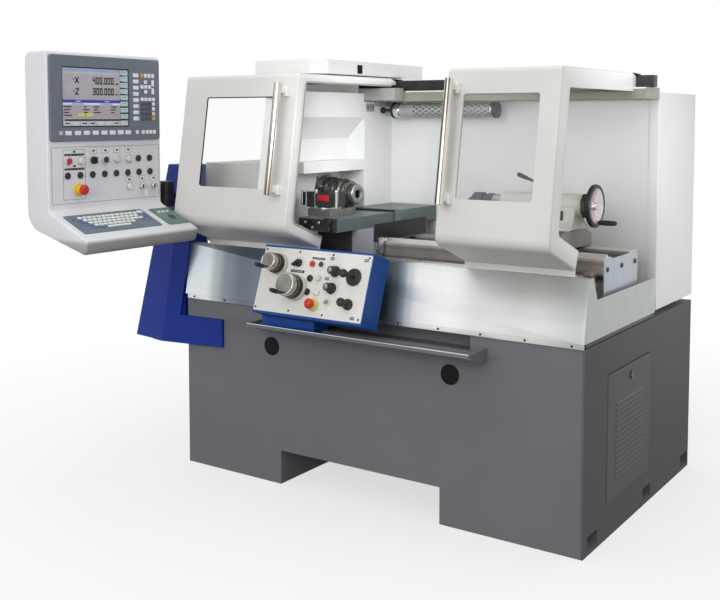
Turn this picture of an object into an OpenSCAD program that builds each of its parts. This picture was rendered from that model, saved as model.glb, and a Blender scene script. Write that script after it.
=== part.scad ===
// Flat-bed turning lathe with sliding doors, a hand panel and a swivel console.
// Millimetres, Z up, X along the spindle, front at -Y, origin under the middle of the base.

/* [Part] */
// Node to draw, or all of them

/* [Fits] */
// Gap between faces that turn or slide on each other
fit = 0.3; // [0.2:0.05:0.5]
// Side gap around pieces that move past others
pass = 3; // [2.5:0.25:3.5]
// Thickness of folded sheet
sheet = 5; // [4:0.5:6]

/* [Base] */
// Length of the base cabinet
base_l = 1812; // [1600:2:2200]
// Depth of the base cabinet
base_d = 1172; // [1168:1:1176]
// Height of the base cabinet
base_h = 720; // [600:1:860]
// Left end of the floor notch
notch_x = -395; // [-410:1:-380]
// Length of the floor notch
notch_l = 743; // [720:1:760]
// Height of the floor notch
notch_h = 139; // [120:1:150]
// Depth of the floor notch
notch_d = 560; // [500:10:570]
// Radius of the round side plugs
plug_r = 38; // [33:1:41]
// Depth of the plug centres below the base top
plug_drop = 154; // [140:1:170]
// Left plug position
plug_xa = -440; // [-450:1:-430]
// Right plug position
plug_xb = 390; // [380:1:400]
// Width of a jacking pocket
pocket_w = 88; // [80:1:92]
// Height of a jacking pocket
pocket_h = 51; // [45:1:56]
// Depth of a jacking pocket
pocket_d = 60; // [50:1:70]

/* [Service bay] */
// Front end of the bay opening
bay_y = -375; // [-385:1:-365]
// Width of the bay opening
bay_w = 442; // [430:1:450]
// Lower edge of the bay opening
bay_z = 131; // [126:1:136]
// Height of the bay opening
bay_h = 464; // [455:1:470]
// Depth of the bay
bay_d = 260; // [220:5:280]
// Louvre slats in the door
slats = 15; // [10:1:17]

/* [Trough] */
// Left end of the front trough
trough_x = -456; // [-462:1:-450]
// Length of the front trough
trough_l = 996; // [990:1:1002]
// Reach of the trough in front of the base
trough_out = 139; // [136:1:142]

/* [Tray] */
// Gap between base and tray
tray_gap = 20; // [18:1:22]
// Height of the tray front
tray_h = 215; // [211:1:217]
// Lean of the tray front
tray_lean = 37; // [33:1:39]
// Height of the tray end wall
tray_wall = 136; // [120:1:145]

/* [Bed and spindle] */
// Height of the flat ways over the base
way_rise = 280; // [276:1:284]
// Height of the spindle axis over the ways
centre_h = 170; // [168:1:174]
// Distance of the spindle axis behind the middle, negative is forward
axis_y = -200; // [-203:1:-197]
// Front edge of the bed
bed_y = -370; // [-372:1:-368]
// Width of the bed over the ways
bed_w = 340; // [336:1:342]
// Height of the front guide ridge
ridge = 14; // [11:0.5:15]
// Radius of the spindle shaft
shaft_r = 45; // [43:1:47]
// Radius of the bore through the spindle and collet nose
bore_r = 27; // [24:1:29]
// Outer radius of the spindle bearings
bearing_r = 70; // [68:1:73]
// Radius of the spindle flange
flange_r = 76; // [74:1:78]
// Radius of both drive pulleys
pulley_r = 80; // [76:1:84]
// Radius of the long feed screw
screw_r = 16; // [14:1:18]

/* [Carriage] */
// Distance of the cross slide's right face from the spindle wall
cross_gap = 202; // [198:1:204]
// Width of the cross slide
cross_w = 191; // [186:1:193]
// Thickness of the cross slide
cross_t = 50; // [46:1:52]
// Thickness of the tool plate
plate_t = 25; // [22:1:27]
// Side of the toolpost block
post_w = 112; // [106:1:116]
// Height of the toolpost block
post_h = 62; // [56:1:66]

/* [Tailstock] */
// Distance of the tailstock barrel's left face from the right end of the base
tail_gap = 496; // [490:1:502]
// Radius of the barrel
barrel_r = 72; // [68:1:74]
// Radius of the quill
quill_r = 28; // [26:1:30]
// Radius of the tailstock handwheel
wheel_r = 80; // [74:1:84]

/* [Doors] */
// Height of the rear cabinet
cab_h = 846; // [820:1:900]
// Height of the door top over the rear cabinet
door_rise = 72; // [68:1:76]
// Sheet edge folded inward at the door ends
band = 40; // [34:1:42]
// Distance of the left door from the left end of the base
ldoor_gap = 99; // [94:1:102]
// Width of the left door
ldoor_w = 587; // [582:1:592]
// Distance of the right door's left end from the right end of the base
rdoor_gap = 478; // [472:1:482]
// Width of the right door
rdoor_w = 424; // [420:1:430]
// Depth of the window's upper edge below the door top
win_drop = 87; // [80:1:100]
// Height of both windows
win_h = 357; // [345:1:362]
// Radius of the handle tubes
grip_r = 15; // [13:0.5:16]
// Stand-off of the handle tubes
grip_out = 60; // [54:1:64]

/* [Hand panel] */
// Width of the hand panel box
box_w = 510; // [506:1:514]
// Height of the hand panel face
box_h = 268; // [266:1:272]
// Depth of the hand panel box
box_t = 106; // [102:1:108]
// Lean of the hand panel face
box_lean = 19.6; // [19:0.1:20]
// Radius of the small push-buttons
push_r = 11; // [9:0.5:12]
// Radius of the emergency-stop mushrooms
stop_r = 20; // [18:1:21]

/* [Console] */
// Height of the boom
boom_h = 779; // [760:1:800]
// Reach of the boom foot along the base
boom_foot = 355; // [320:1:390]
// Width of the console
con_w = 562; // [558:1:566]
// Thickness of the console head
con_t = 122; // [116:1:126]
// Radius of the swivel
swivel_r = 36; // [32:1:38]

/* [Hidden] */
base_x = base_l / 2;
base_y = base_d / 2;
way_z = base_h + way_rise;
axis_z = way_z + centre_h;
plug_z = base_h - plug_drop;
tray_z = base_h + tray_gap;
tray_y = -base_y - 14;
rim_y = tray_y + tray_lean;
rim_z = tray_z + tray_h;
floor_y = -430;
wall_y = 121;
cab_z = base_h + 26;
door_z = cab_z + cab_h + door_rise;
win_z = door_z - win_drop - win_h;
head_x = 36 - base_x;
hood_x = head_x + 270;
hood_z = door_z + 8;
head_end = head_x + 410;
wall_x = head_end + 144;
bed_end = base_x - 26;
cross_x = wall_x + cross_gap;
tail_x = base_x - tail_gap;
ldoor_x = ldoor_gap - base_x;
rdoor_x = base_x - rdoor_gap;
niche_z = axis_z + 146;
niche_h = door_z - 64 - niche_z;
foot_y = bed_y + 20;
foot_w = bed_w - 40;
way_back = bed_y + bed_w;
ridge_y = bed_y + 36;
screw_y = bed_y - 35;
screw_z = way_z - 70;
motor_y = 330;
pulley_x = head_x - 30;
pulley_t = 24;
cover_x = head_x - 42;
rail_z = door_z - 54;
hatch_z = bay_z + fit;
rest_z = way_z + fit;
top_z = way_z + 50;
slide_z = top_z + fit;
tool_z = slide_z + cross_t;
post_z = tool_z + plate_t;
post_x = cross_x - 168;
post_y = -425;
nose_x = head_end + 181;
wheel_x = tail_x + 360;
box_x = cross_x - 257;
box_y = -790;
box_z = base_h + 27;
face = 3;
ledge = atan2(92, 204);
boom_x = -base_x - 148;
boom_z = base_h - 206;
pivot_x = boom_x + 149;
pivot_y = -base_y - 129;
pivot_z = boom_z + boom_h - 115;
con_x = pivot_x + 79;
con_y = pivot_y - 101 - con_w;
fold_z = pivot_z - 26;
con_z = fold_z + 584;
spots = [[246, 153], [245, 101], [287, 209], [289, 103], [344, 71]];
vents = [-500, 56, 526];
foot_t = pocket_d + 6;
front_top = [-678, door_z];
front_bend = [-774, rim_z + 111];
front_end = [-555, rim_z + 25];
grip_z = door_z - 258;
saddle_x = cross_x - 196;
lamp_z = rail_z - 83;
lamp_x = wall_x + 68;
lean_n = unit(front_bend - front_top);
sill_n = unit(front_end - front_bend);

// Unit vector along v
function unit(v) = v / norm(v);
// Point where the line through p along d meets the line through q along e
function meet(p, d, q, e) = p + d * ((q - p)[0] * e[1] - (q - p)[1] * e[0]) / (d[0] * e[1] - d[1] * e[0]);
// Inward normals of the leaning front and of the sill
function lean_in() = [-lean_n[1], lean_n[0]];
function sill_in() = [-sill_n[1], sill_n[0]];
// Inner corner of the door outline at depth t below the roof line
function roof_in(t) = meet([0, door_z - t], [1, 0], front_top + lean_in() * t, lean_n);
// Inner corner of the door outline at depth t at the bend
function bend_in(t) = meet(front_top + lean_in() * t, lean_n, front_bend + sill_in() * t, sill_n);
// Depth of the leaning door face at height z
function face_y(z) = front_top[0] + lean_n[0] * (z - door_z) / lean_n[1];

// Extrude a Y-Z outline along X from x over length l
module along_x(x, l) {
  translate([x, 0, 0])
    rotate([90, 0, 90])
      linear_extrude(height = l)
        children();
}

// Extrude an X-Z outline along Y from y over length l
module along_y(y, l) {
  translate([0, y + l, 0])
    rotate([90, 0, 0])
      linear_extrude(height = l)
        children();
}

// Round bar along X
module bar_x(x, l, y, z, r) {
  translate([x, y, z])
    rotate([0, 90, 0])
      cylinder(h = l, r = r, $fn = 64);
}

// Place children on the leaning face of the hand panel
module on_panel(u, v) {
  translate([box_x, box_y, box_z])
    rotate([90 - box_lean, 0, 0])
      translate([u, v, 0])
        children();
}

// Place children on the upright face of the console
module on_console(y, z) {
  translate([con_x, con_y + y, fold_z + z])
    rotate([90, 0, 90])
      children();
}

module base_frame() {
  color("#696a6e")
    difference() {
      translate([-base_x, -base_y, 0])
        cube([base_l, base_d, base_h]);
      translate([notch_x, -base_y - 1, -1])
        cube([notch_l, notch_d + 1, notch_h + 1]);
      translate([trough_x + sheet, -base_y - 1, base_h - 60])
        cube([trough_l - 74, 87, 61]);
      translate([base_x - foot_t, -base_y - 1, -1])
        cube([foot_t + 1, base_d + 2, pocket_h + 31]);
      translate([base_x - bay_d, bay_y, bay_z])
        cube([bay_d + 1, bay_w, bay_h]);
    }
}

module end_foot() {
  color("#696a6e")
    difference() {
      translate([base_x - foot_t, -base_y, 0])
        cube([foot_t, base_d, pocket_h + 30]);
      for (y = vents)
        translate([base_x - pocket_d, y - pocket_w / 2, 15])
          cube([pocket_d + 1, pocket_w, pocket_h]);
    }
}

module hole_plugs() {
  color("#151515")
    for (x = [plug_xa, plug_xb])
      translate([x, -base_y - 2, plug_z])
        rotate([-90, 0, 0])
          cylinder(h = 2, r = plug_r, $fn = 64);
}

module front_trough() {
  color("#6f7074") {
    along_x(trough_x, trough_l)
      polygon([[-base_y, base_h - 90], [-base_y - trough_out, base_h - 52], [-base_y - trough_out, base_h - 38],
        [-base_y - trough_out + sheet, base_h - 38], [-base_y - trough_out + sheet, base_h - 47],
        [-base_y, base_h - 84]]);
    for (x = [trough_x, trough_x + trough_l - sheet])
      along_x(x, sheet)
        polygon([[-base_y, base_h - 90], [-base_y - trough_out, base_h - 52],
          [-base_y - trough_out, base_h - 38], [-base_y, base_h - 38]]);
    translate([trough_x, -base_y - 54, base_h - 80])
      cube([trough_l, 30, 32]);
  }
}

module chip_tray() {
  color("#c8cdcb")
    difference() {
      union() {
        along_x(-base_x, base_l)
          polygon([[tray_y, tray_z], [rim_y, rim_z], [rim_y + 43, rim_z], [floor_y, tray_z + sheet],
            [floor_y, tray_z]]);
        translate([head_end, floor_y - 1, tray_z])
          cube([base_x - head_end, wall_y - floor_y - 5, sheet]);
        translate([base_x - sheet, -520, tray_z])
          cube([sheet, wall_y + 514, tray_wall]);
        translate([head_end, wall_y - 11, tray_z])
          cube([base_x - head_end, sheet, 60]);
        for (x = [46 - base_x, 306 - base_x, base_x - 346, base_x - 46])
          translate([x - 20, -575, base_h])
            cube([40, 40, tray_gap + 1]);
        for (x = [-100, 400, base_x - 46])
          translate([x - 20, 40, base_h])
            cube([40, 40, tray_gap + 1]);
      }
      translate([head_end - 1, foot_y - fit, tray_z - 1])
        cube([bed_end - head_end + 1 + fit, foot_w + 2 * fit, sheet + 2]);
    }
}

module bed() {
  color("#8a8c8c")
    difference() {
      union() {
        along_x(head_end, bed_end - head_end)
          polygon([[foot_y, base_h], [foot_y + foot_w, base_h], [foot_y + foot_w, tray_z + sheet],
            [foot_y + foot_w - 40, tray_z + 60], [foot_y + foot_w - 40, way_z - 80], [way_back, way_z - 60],
            [way_back, way_z], [way_back - 80, way_z], [way_back - 80, way_z - 100], [bed_y + 80, way_z - 100],
            [bed_y + 80, way_z], [ridge_y + ridge + 2, way_z], [ridge_y, way_z + ridge],
            [ridge_y - ridge - 2, way_z], [bed_y, way_z], [bed_y, way_z - 60], [foot_y + 40, way_z - 80],
            [foot_y + 40, tray_z + 60], [foot_y, tray_z + sheet]]);
        for (x = [head_end, bed_end - 50])
          translate([x, screw_y - 25, screw_z - 25])
            cube([30, bed_y - screw_y + 29, 50]);
      }
      bar_x(head_end + 5, bed_end - head_end - 10, screw_y, screw_z, screw_r + fit);
    }
}

module headstock() {
  color("#a9b0ad")
    difference() {
      along_x(head_x, head_end - head_x)
        polygon([[-420, base_h], [60, base_h], [60, axis_z + 132], [-505, axis_z + 132], [-505, rim_z + 7],
          [-420, rim_z + 7]]);
      bar_x(head_x - 1, head_end - head_x + 2, axis_y, axis_z, bearing_r);
    }
}

module belt_cover() {
  color("#e4e4e2")
    difference() {
      translate([cover_x, axis_y - 120, axis_z - 120])
        cube([head_x - cover_x, motor_y - axis_y + 240, 240]);
      translate([cover_x + sheet, axis_y - 115, axis_z - 115])
        cube([head_x - cover_x, motor_y - axis_y + 230, 230]);
      bar_x(cover_x - 1, 10, axis_y, axis_z, bore_r + 6);
    }
}

module chuck_wall() {
  color("#f0f0ee")
    difference() {
      union() {
        along_y(-530, 433)
          polygon([[head_end, axis_z - 154], [head_end + 10, axis_z - 154], [head_end + 10, niche_z - 46],
            [wall_x, niche_z - 46], [wall_x, niche_z], [head_end + 60, niche_z],
            [head_end + 60, niche_z + 0.32 * niche_h], [wall_x, niche_z + 0.637 * niche_h],
            [wall_x, niche_z + niche_h], [head_end, niche_z + niche_h]]);
        translate([head_end + 10, -98, axis_z - 154])
          cube([134, wall_y + 98, rail_z - 46 - axis_z + 154]);
      }
      bar_x(head_end - 1, 20, axis_y, axis_z, flange_r + 6);
    }
}

module rear_cabinet() {
  color("#e4e4e2")
    difference() {
      union() {
        translate([head_x, wall_y, cab_z])
          cube([base_x - head_x, base_y - wall_y, cab_h]);
        translate([hood_x, wall_y, cab_z + cab_h - 1])
          cube([340, 180, hood_z - cab_z - cab_h + 2]);
        translate([hood_x, 0, hood_z])
          linear_extrude(58)
            polygon([[0, -491], [286, -491], [340, -437], [340, wall_y + 180], [0, wall_y + 180]]);
        for (x = [head_x + 40, 0, base_x - 100])
          for (y = [wall_y + 20, base_y - 80])
            translate([x, y, base_h])
              cube([60, 60, cab_z - base_h + 1]);
      }
      translate([head_x - 1, motor_y - 130, axis_z - 130])
        cube([371, 260, 260]);
    }
}

module rail_beam() {
  color("#b9b4a8")
    translate([head_x, -20, rail_z - 46])
      cube([base_x - head_x, wall_y + 20, 46]);
}

module door_rail() {
  color("#2a2b2d")
    translate([head_x, 10, rail_z])
      cube([base_x - head_x + 14, 40, 45]);
}

module work_lamp() {
  color("#cfd6d8") {
    bar_x(lamp_x, 511, 40, lamp_z, 29);
    bar_x(lamp_x, 24, 40, lamp_z, 34);
    bar_x(lamp_x + 487, 24, 40, lamp_z, 34);
    bar_x(wall_x, 69, 40, lamp_z, 11);
  }
}

module motor() {
  color("#3c3f44")
    difference() {
      union() {
        bar_x(head_x + 12, 310, motor_y, axis_z, 110);
        translate([head_x + 50, motor_y - 80, axis_z - 130])
          cube([240, 160, 60]);
      }
      bar_x(head_x + 11, 62, motor_y, axis_z, 19 + fit);
    }
}

module drive_belt() {
  color("#1b1b1b")
    along_x(pulley_x + 2, pulley_t - 4)
      difference() {
        union() {
          for (y = [axis_y, motor_y])
            translate([y, axis_z])
              circle(r = pulley_r + 8, $fn = 96);
          translate([axis_y, axis_z - pulley_r - 8])
            square([motor_y - axis_y, 2 * pulley_r + 16]);
        }
        for (y = [axis_y, motor_y])
          translate([y, axis_z])
            circle(r = pulley_r + fit, $fn = 96);
        translate([axis_y, axis_z - pulley_r - fit])
          square([motor_y - axis_y, 2 * pulley_r + 2 * fit]);
      }
}

module spindle_bearings() {
  color("#9fa3a6")
    for (x = [head_x + 10, head_end - 40])
      difference() {
        bar_x(x, 36, axis_y, axis_z, bearing_r);
        bar_x(x - 1, 38, axis_y, axis_z, shaft_r + fit);
      }
}

module boom() {
  color("#2e4596")
    difference() {
      union() {
        translate([boom_x, -base_y - 14, boom_z])
          along_y(0, 14)
            polygon([[-200, -1], [0, 0], [boom_foot, 15], [boom_foot, 132], [116, 129], [229, boom_h - 3],
              [33, boom_h]]);
        translate([boom_x, -base_y - 1, boom_z])
          along_y(0, 146)
            polygon([[-200, -1], [129, 5], [136, boom_h - 2], [33, boom_h]]);
      }
      boom_front();
    }
}

// Space in front of the leaning left face of the boom
module boom_front() {
  translate([boom_x, -base_y - 14, boom_z])
    rotate([0, atan2(144, boom_h + 1), 0])
      rotate([0, 0, -12])
        translate([-500, -300, -200])
          cube([700, 300, 1200]);
}

module swivel_joint() {
  color("#1c1c1e") {
    translate([pivot_x, pivot_y, pivot_z - 52])
      cylinder(h = 52 - fit, r = swivel_r, $fn = 64);
    intersection() {
      translate([pivot_x, pivot_y, pivot_z - 40])
        rotate([0, 0, 129])
          translate([0, -26, 0])
            cube([220, 52, 34]);
      boom_front();
    }
  }
}

module service_door() {
  color("#5b5b5d")
    difference() {
      union() {
        translate([base_x - 18, bay_y + fit, hatch_z])
          cube([20, bay_w - 2 * fit, bay_h - 4]);
        for (i = [0 : slats - 1])
          translate([base_x + 4, bay_y + 79, bay_z + 69 + i * 19])
            rotate([0, -25, 0])
              cube([3, 284, 12]);
      }
      translate([base_x - 19, 231 + bay_y, 418 + bay_z])
        rotate([0, 90, 0])
          cylinder(h = 30, r = 9 + fit, $fn = 48);
      for (i = [0 : slats - 1])
        translate([base_x - 19, bay_y + 84, bay_z + 64 + i * 19])
          cube([19, 274, 5]);
    }
}

module service_latch() {
  color("#b9bcc0") {
    bar_x(base_x - 24, 32, bay_y + 231, bay_z + 418, 9);
    translate([base_x - 24, bay_y + 224, bay_z + 418])
      cube([4, 14, 34]);
    bar_x(base_x + 2 + fit, 5, bay_y + 231, bay_z + 418, 15);
  }
}

// Door skin with folded ends, both shoes and the window cut
module door_shell(x, w, win_x, win_w) {
  difference() {
    union() {
      along_x(x, w)
        polygon([[64, door_z], front_top, front_bend, front_end, front_end + [0, -22], front_end + [sheet, -22],
          front_end + sill_in() * sheet + [sheet, 0], bend_in(sheet), roof_in(sheet), [64 - sheet, door_z - sheet],
          [64 - sheet, door_z - 34], [64, door_z - 34]]);
      for (e = [x, x + w - sheet])
        along_x(e, sheet)
          polygon([[-30, door_z], front_top, front_bend, front_end, front_end + sill_in() * band, bend_in(band),
            roof_in(band), [-30, door_z - band]]);
      for (e = [x + 30, x + w - 110])
        translate([e, 14, door_z - 9 + fit])
          cube([80, 32, 9 - fit - 1]);
    }
    translate([win_x, -900, win_z])
      cube([win_w, 300, win_h]);
  }
}

// Window pane lapped behind the door skin
module pane(win_x, win_w) {
  along_x(win_x - 18, win_w + 36)
    polygon([for (p = [[win_z - 18, sheet], [win_z + win_h + 18, sheet], [win_z + win_h + 18, sheet + 6],
      [win_z - 18, sheet + 6]]) [face_y(p[0]), p[0]] + lean_in() * p[1]]);
}

// Tube handle on two stand-offs, foot at height z on the leaning face
module grip(x) {
  translate([x, face_y(grip_z), grip_z])
    rotate([atan2(lean_n[0], -lean_n[1]), 0, 0]) {
      translate([0, -grip_out, -215])
        cylinder(h = 430, r = grip_r, $fn = 64);
      for (z = [-190, 190])
        translate([-13, grip_r - grip_out - 5, z - 18])
          cube([26, grip_out - grip_r + 5, 36]);
    }
}

module left_door() {
  color("#dcdad6")
    door_shell(ldoor_x, ldoor_w, ldoor_x + 125, ldoor_w - 243);
}

module left_window() {
  color("#dfe6ea")
    pane(ldoor_x + 125, ldoor_w - 243);
}

module left_handle() {
  color("#b8bcc0")
    grip(ldoor_x + ldoor_w - 52);
}

module right_door() {
  color("#dcdad6")
    door_shell(rdoor_x, rdoor_w, rdoor_x + 69, rdoor_w - 141);
}

module right_window() {
  color("#dfe6ea")
    pane(rdoor_x + 69, rdoor_w - 141);
}

module right_handle() {
  color("#b8bcc0")
    grip(rdoor_x + 42);
}

module spindle() {
  color("#8f9396")
    difference() {
      union() {
        bar_x(pulley_x - 4, head_end + 18 - pulley_x, axis_y, axis_z, shaft_r);
        bar_x(head_end + 13, 22, axis_y, axis_z, flange_r);
        bar_x(pulley_x, pulley_t, axis_y, axis_z, pulley_r);
      }
      bar_x(pulley_x - 5, head_end + 60 - pulley_x, axis_y, axis_z, bore_r + 3);
    }
}

module collet_nose() {
  color("#3a3a3b")
    difference() {
      union() {
        bar_x(head_end + 35, 25, axis_y, axis_z, flange_r - 6);
        bar_x(head_end + 59, 60, axis_y, axis_z, 64);
        bar_x(head_end + 118, 29, axis_y, axis_z, 56);
        bar_x(head_end + 146, nose_x - head_end - 146, axis_y, axis_z, 43.5);
      }
      bar_x(head_end + 34, 150, axis_y, axis_z, bore_r);
    }
}

module motor_pulley() {
  color("#6d7072") {
    bar_x(pulley_x, pulley_t, motor_y, axis_z, pulley_r);
    bar_x(pulley_x + 1, 100, motor_y, axis_z, 19);
  }
}

module saddle() {
  color("#9aa0a2")
    difference() {
      along_x(saddle_x, 270)
        polygon([[screw_y - 40, way_z - 115], [bed_y - pass, way_z - 115], [bed_y - pass, rest_z],
          [ridge_y - ridge - 3, rest_z], [ridge_y, rest_z + ridge + 0.6], [ridge_y + ridge + 3, rest_z],
          [way_back + 5, rest_z], [way_back + 5, top_z], [screw_y - 40, top_z]]);
      bar_x(saddle_x - 1, 272, screw_y, screw_z, screw_r + fit);
    }
}

module cross_slide() {
  color("#5e6c70") {
    translate([cross_x - cross_w, -575, slide_z])
      cube([cross_w, 555, cross_t]);
    translate([cross_x - 60, -587, slide_z])
      cube([62, 13, cross_t + 5]);
    for (z = [14, 40])
      translate([cross_x - 30, -587, slide_z + z])
        rotate([90, 0, 0])
          cylinder(h = 14, r = 12, $fn = 48);
    translate([post_x, post_y - 75, tool_z - 1])
      cube([77, 150, plate_t + 1]);
    translate([post_x, post_y, tool_z - 1])
      cylinder(h = plate_t + 1, r = 75, $fn = 96);
  }
}

module slide_cover() {
  color("#5e6c70")
    difference() {
      translate([cross_x - cross_w - pass - 3, -175, top_z])
        cube([cross_w + pass + 41, 283, cross_t + 12]);
      translate([cross_x - cross_w - pass, -176, top_z - 1])
        cube([cross_w + 2 * pass, 280, cross_t + 1 + 2 * pass]);
    }
}

module toolpost() {
  color("#4a4a48")
    difference() {
      union() {
        translate([post_x, post_y, post_z])
          cylinder(h = 9, r = 62, $fn = 96);
        translate([post_x - post_w / 2, post_y - post_w / 2, post_z + 8])
          cube([post_w, post_w, post_h]);
        translate([post_x - post_w / 2 - 34, post_y - 46, post_z + 14])
          cube([35, 92, post_h - 10]);
        translate([post_x - 8, post_y - post_w / 2 - 12, post_z + 14])
          cube([104, 13, post_h - 10]);
        for (x = [-6, 94])
          translate([post_x + x, post_y - post_w / 2 - 4, post_z + 8])
            cylinder(h = post_h + 14, r = 8, $fn = 48);
      }
      translate([post_x, post_y, post_z + post_h - 12])
        cylinder(h = 30, r = 12 + fit, $fn = 48);
    }
}

module toolpost_lever() {
  color("#161616")
    translate([post_x, post_y, post_z + post_h + 8]) {
      translate([0, 0, -15])
        cylinder(h = 16, r = 12, $fn = 48);
      translate([0, 0, fit])
        cylinder(h = 16, r = 24, $fn = 64);
      translate([-34, 0, 8])
        cylinder(h = 50, r = 5, $fn = 32);
      translate([-34, -5, 6])
        cube([20, 10, 8]);
      translate([-34, 0, 34])
        cylinder(h = 30, r = 8, $fn = 32);
    }
}

module z_screw() {
  color("#a8abad")
    bar_x(head_end + 6, bed_end - head_end - 28, screw_y, screw_z, screw_r);
}

module tailstock() {
  color("#dcdccf")
    difference() {
      union() {
        along_x(tail_x + 20, 270)
          polygon([[bed_y - 2, rest_z], [ridge_y - ridge - 3, rest_z], [ridge_y, rest_z + ridge + 0.6],
            [ridge_y + ridge + 3, rest_z], [way_back + 2, rest_z], [way_back + 2, rest_z + 50],
            [axis_y + 90, rest_z + 80], [axis_y - 90, rest_z + 80], [bed_y - 2, rest_z + 50]]);
        translate([tail_x + 12, axis_y - 62, rest_z + 60])
          cube([300, 124, axis_z - rest_z - 60]);
        bar_x(tail_x, 330, axis_y, axis_z, barrel_r);
        translate([tail_x + 329, axis_y, axis_z])
          rotate([0, 90, 0])
            rotate([0, 0, 22.5])
              cylinder(h = 16, r = barrel_r + 8, $fn = 8);
      }
      bar_x(tail_x - 1, 290, axis_y, axis_z, quill_r + fit);
      bar_x(tail_x + 280, 90, axis_y, axis_z, 12 + fit);
      translate([tail_x + 135, axis_y, axis_z + barrel_r - 14])
        cylinder(h = 30, r = 8 + fit, $fn = 48);
    }
}

module quill() {
  color("#5a5c5e")
    difference() {
      bar_x(tail_x - 44, 300, axis_y, axis_z, quill_r);
      bar_x(tail_x - 45, 60, axis_y, axis_z, 12 + fit);
    }
}

module live_center() {
  color("#3d4446")
    translate([tail_x - 160, axis_y, axis_z])
      rotate([0, 90, 0])
        rotate_extrude($fn = 64)
          polygon([[0, 0], [14, 0], [33, 34], [33, 74], [25, 76], [25, 92], [31, 94], [31, 116 - fit],
            [12, 116 - fit], [12, 168], [0, 168]]);
}

module tail_handwheel() {
  color("#c9ccce")
    difference() {
      union() {
        bar_x(tail_x + 300, wheel_x - tail_x - 290, axis_y, axis_z, 12);
        translate([wheel_x, axis_y, axis_z])
          rotate([0, 90, 0])
            rotate_extrude($fn = 96)
              polygon([[0, -8], [24, -8], [26, 8], [wheel_r - 14, 4], [wheel_r - 12, 0], [wheel_r, 0],
                [wheel_r, 18], [wheel_r - 12, 18], [wheel_r - 14, 12], [28, 16], [24, 26], [0, 26]]);
        bar_x(wheel_x + 10, 84, axis_y, axis_z - wheel_r + 20, 9);
      }
      bar_x(wheel_x + 20, 20, axis_y, axis_z, 8);
    }
}

module clamp_lever() {
  color("#161616")
    translate([tail_x + 135, axis_y, axis_z + barrel_r]) {
      translate([0, 0, -12])
        cylinder(h = 20, r = 8, $fn = 48);
      translate([0, 0, fit])
        cylinder(h = 18, r = 14, $fn = 48);
      translate([0, 0, 8])
        rotate([0, -70, 0])
          cylinder(h = 84, r = 6, $fn = 32);
      translate([0, 0, 8])
        rotate([0, -70, 0])
          translate([0, 0, 40])
            cylinder(h = 46, r = 9, $fn = 32);
    }
}

module control_box() {
  color("#2250a0")
    difference() {
      union() {
        on_panel(0, 0)
          translate([0, 0, -box_t])
            cube([box_w, box_h, box_t]);
        translate([box_x - 24, -base_y - 114, base_h - 48 + fit])
          cube([255, 92, 52]);
      }
      for (p = [[285, 157], [246, 208]])
        on_panel(p[0], p[1])
          translate([0, 0, -12])
            cylinder(h = 20, r = push_r + fit, $fn = 48);
      for (p = [[88, 193], [190, 111], [179, 207], [356, 188], [352, 124], [438, 72], [285, 55]])
        on_panel(p[0], p[1])
          translate([0, 0, -12])
            cylinder(h = 20, r = 6 + fit, $fn = 48);
    }
}

module control_plate() {
  color("#e6e4da")
    difference() {
      union() {
        on_panel(4, 9)
          cube([box_w - 8, box_h - 17, face]);
        for (p = spots)
          on_panel(p[0], p[1])
            cylinder(h = face + 7, r = 13, $fn = 48);
        for (p = [[285, 157], [246, 208]])
          on_panel(p[0], p[1])
            cylinder(h = face + 4, r = push_r + 3, $fn = 48);
        on_panel(88, 193)
          cylinder(h = 36, r = 40, $fn = 96);
        on_panel(190, 111)
          cylinder(h = 40, r = 45, $fn = 96);
        on_panel(285, 55)
          cylinder(h = face + 10, r = stop_r, $fn = 64);
        on_panel(441, 174)
          cylinder(h = face + 9 - fit, r = 33, $fn = 64);
        for (u = [20, 175, 332, 492])
          for (v = [24, box_h - 18])
            on_panel(u, v)
              cylinder(h = face + 2, r = 4, $fn = 32);
      }
      for (p = [[285, 157], [246, 208]])
        on_panel(p[0], p[1])
          translate([0, 0, -1])
            cylinder(h = 20, r = push_r + fit, $fn = 48);
      for (p = [[88, 193], [190, 111], [179, 207], [356, 188], [352, 124], [438, 72], [285, 55]])
        on_panel(p[0], p[1])
          translate([0, 0, -1])
            cylinder(h = 60, r = 6 + fit, $fn = 48);
    }
}

// Electronic handwheel with crank, standing on its dial at height h
module crank_wheel(u, v, h, r) {
  on_panel(u, v) {
    translate([0, 0, -10])
      cylinder(h = h + 16, r = 6, $fn = 48);
    translate([0, 0, h + fit])
      cylinder(h = 44, r = r, $fn = 96);
    translate([-0.3 * r, -0.78 * r, h + 40])
      cylinder(h = 58, r = 7, $fn = 48);
  }
}

module x_handwheel() {
  color("#b9b7a9")
    crank_wheel(88, 193, 36, 34);
}

module z_handwheel() {
  color("#b9b7a9")
    crank_wheel(190, 111, 40, 45);
}

// Turning knob with a stem in the plate
module knob(u, v, r, h) {
  on_panel(u, v) {
    translate([0, 0, -8])
      cylinder(h = 20, r = 6, $fn = 48);
    translate([0, 0, face + fit])
      cylinder(h = 9, r = r, $fn = 64);
    translate([0, 0, face + 8])
      cylinder(h = h, r = r * 0.72, $fn = 64);
  }
}

module mode_knob() {
  color("#1d1d1d") {
    knob(179, 207, 16, 6);
    on_panel(179, 207)
      translate([-4, -15, face + 12])
        cube([8, 30, 14]);
  }
}

module feed_knob() {
  color("#1d1d1d")
    knob(356, 188, 22, 34);
}

module speed_knob() {
  color("#1d1d1d")
    knob(352, 124, 22, 34);
}

module joystick() {
  color("#1d1d1d")
    on_panel(441, 174) {
      translate([0, 0, face + 17])
        sphere(r = 8, $fn = 48);
      translate([0, 0, face + 17])
        cylinder(h = 30, r = 5, $fn = 32);
      translate([0, 0, face + 55])
        sphere(r = 17, $fn = 64);
    }
}

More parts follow.
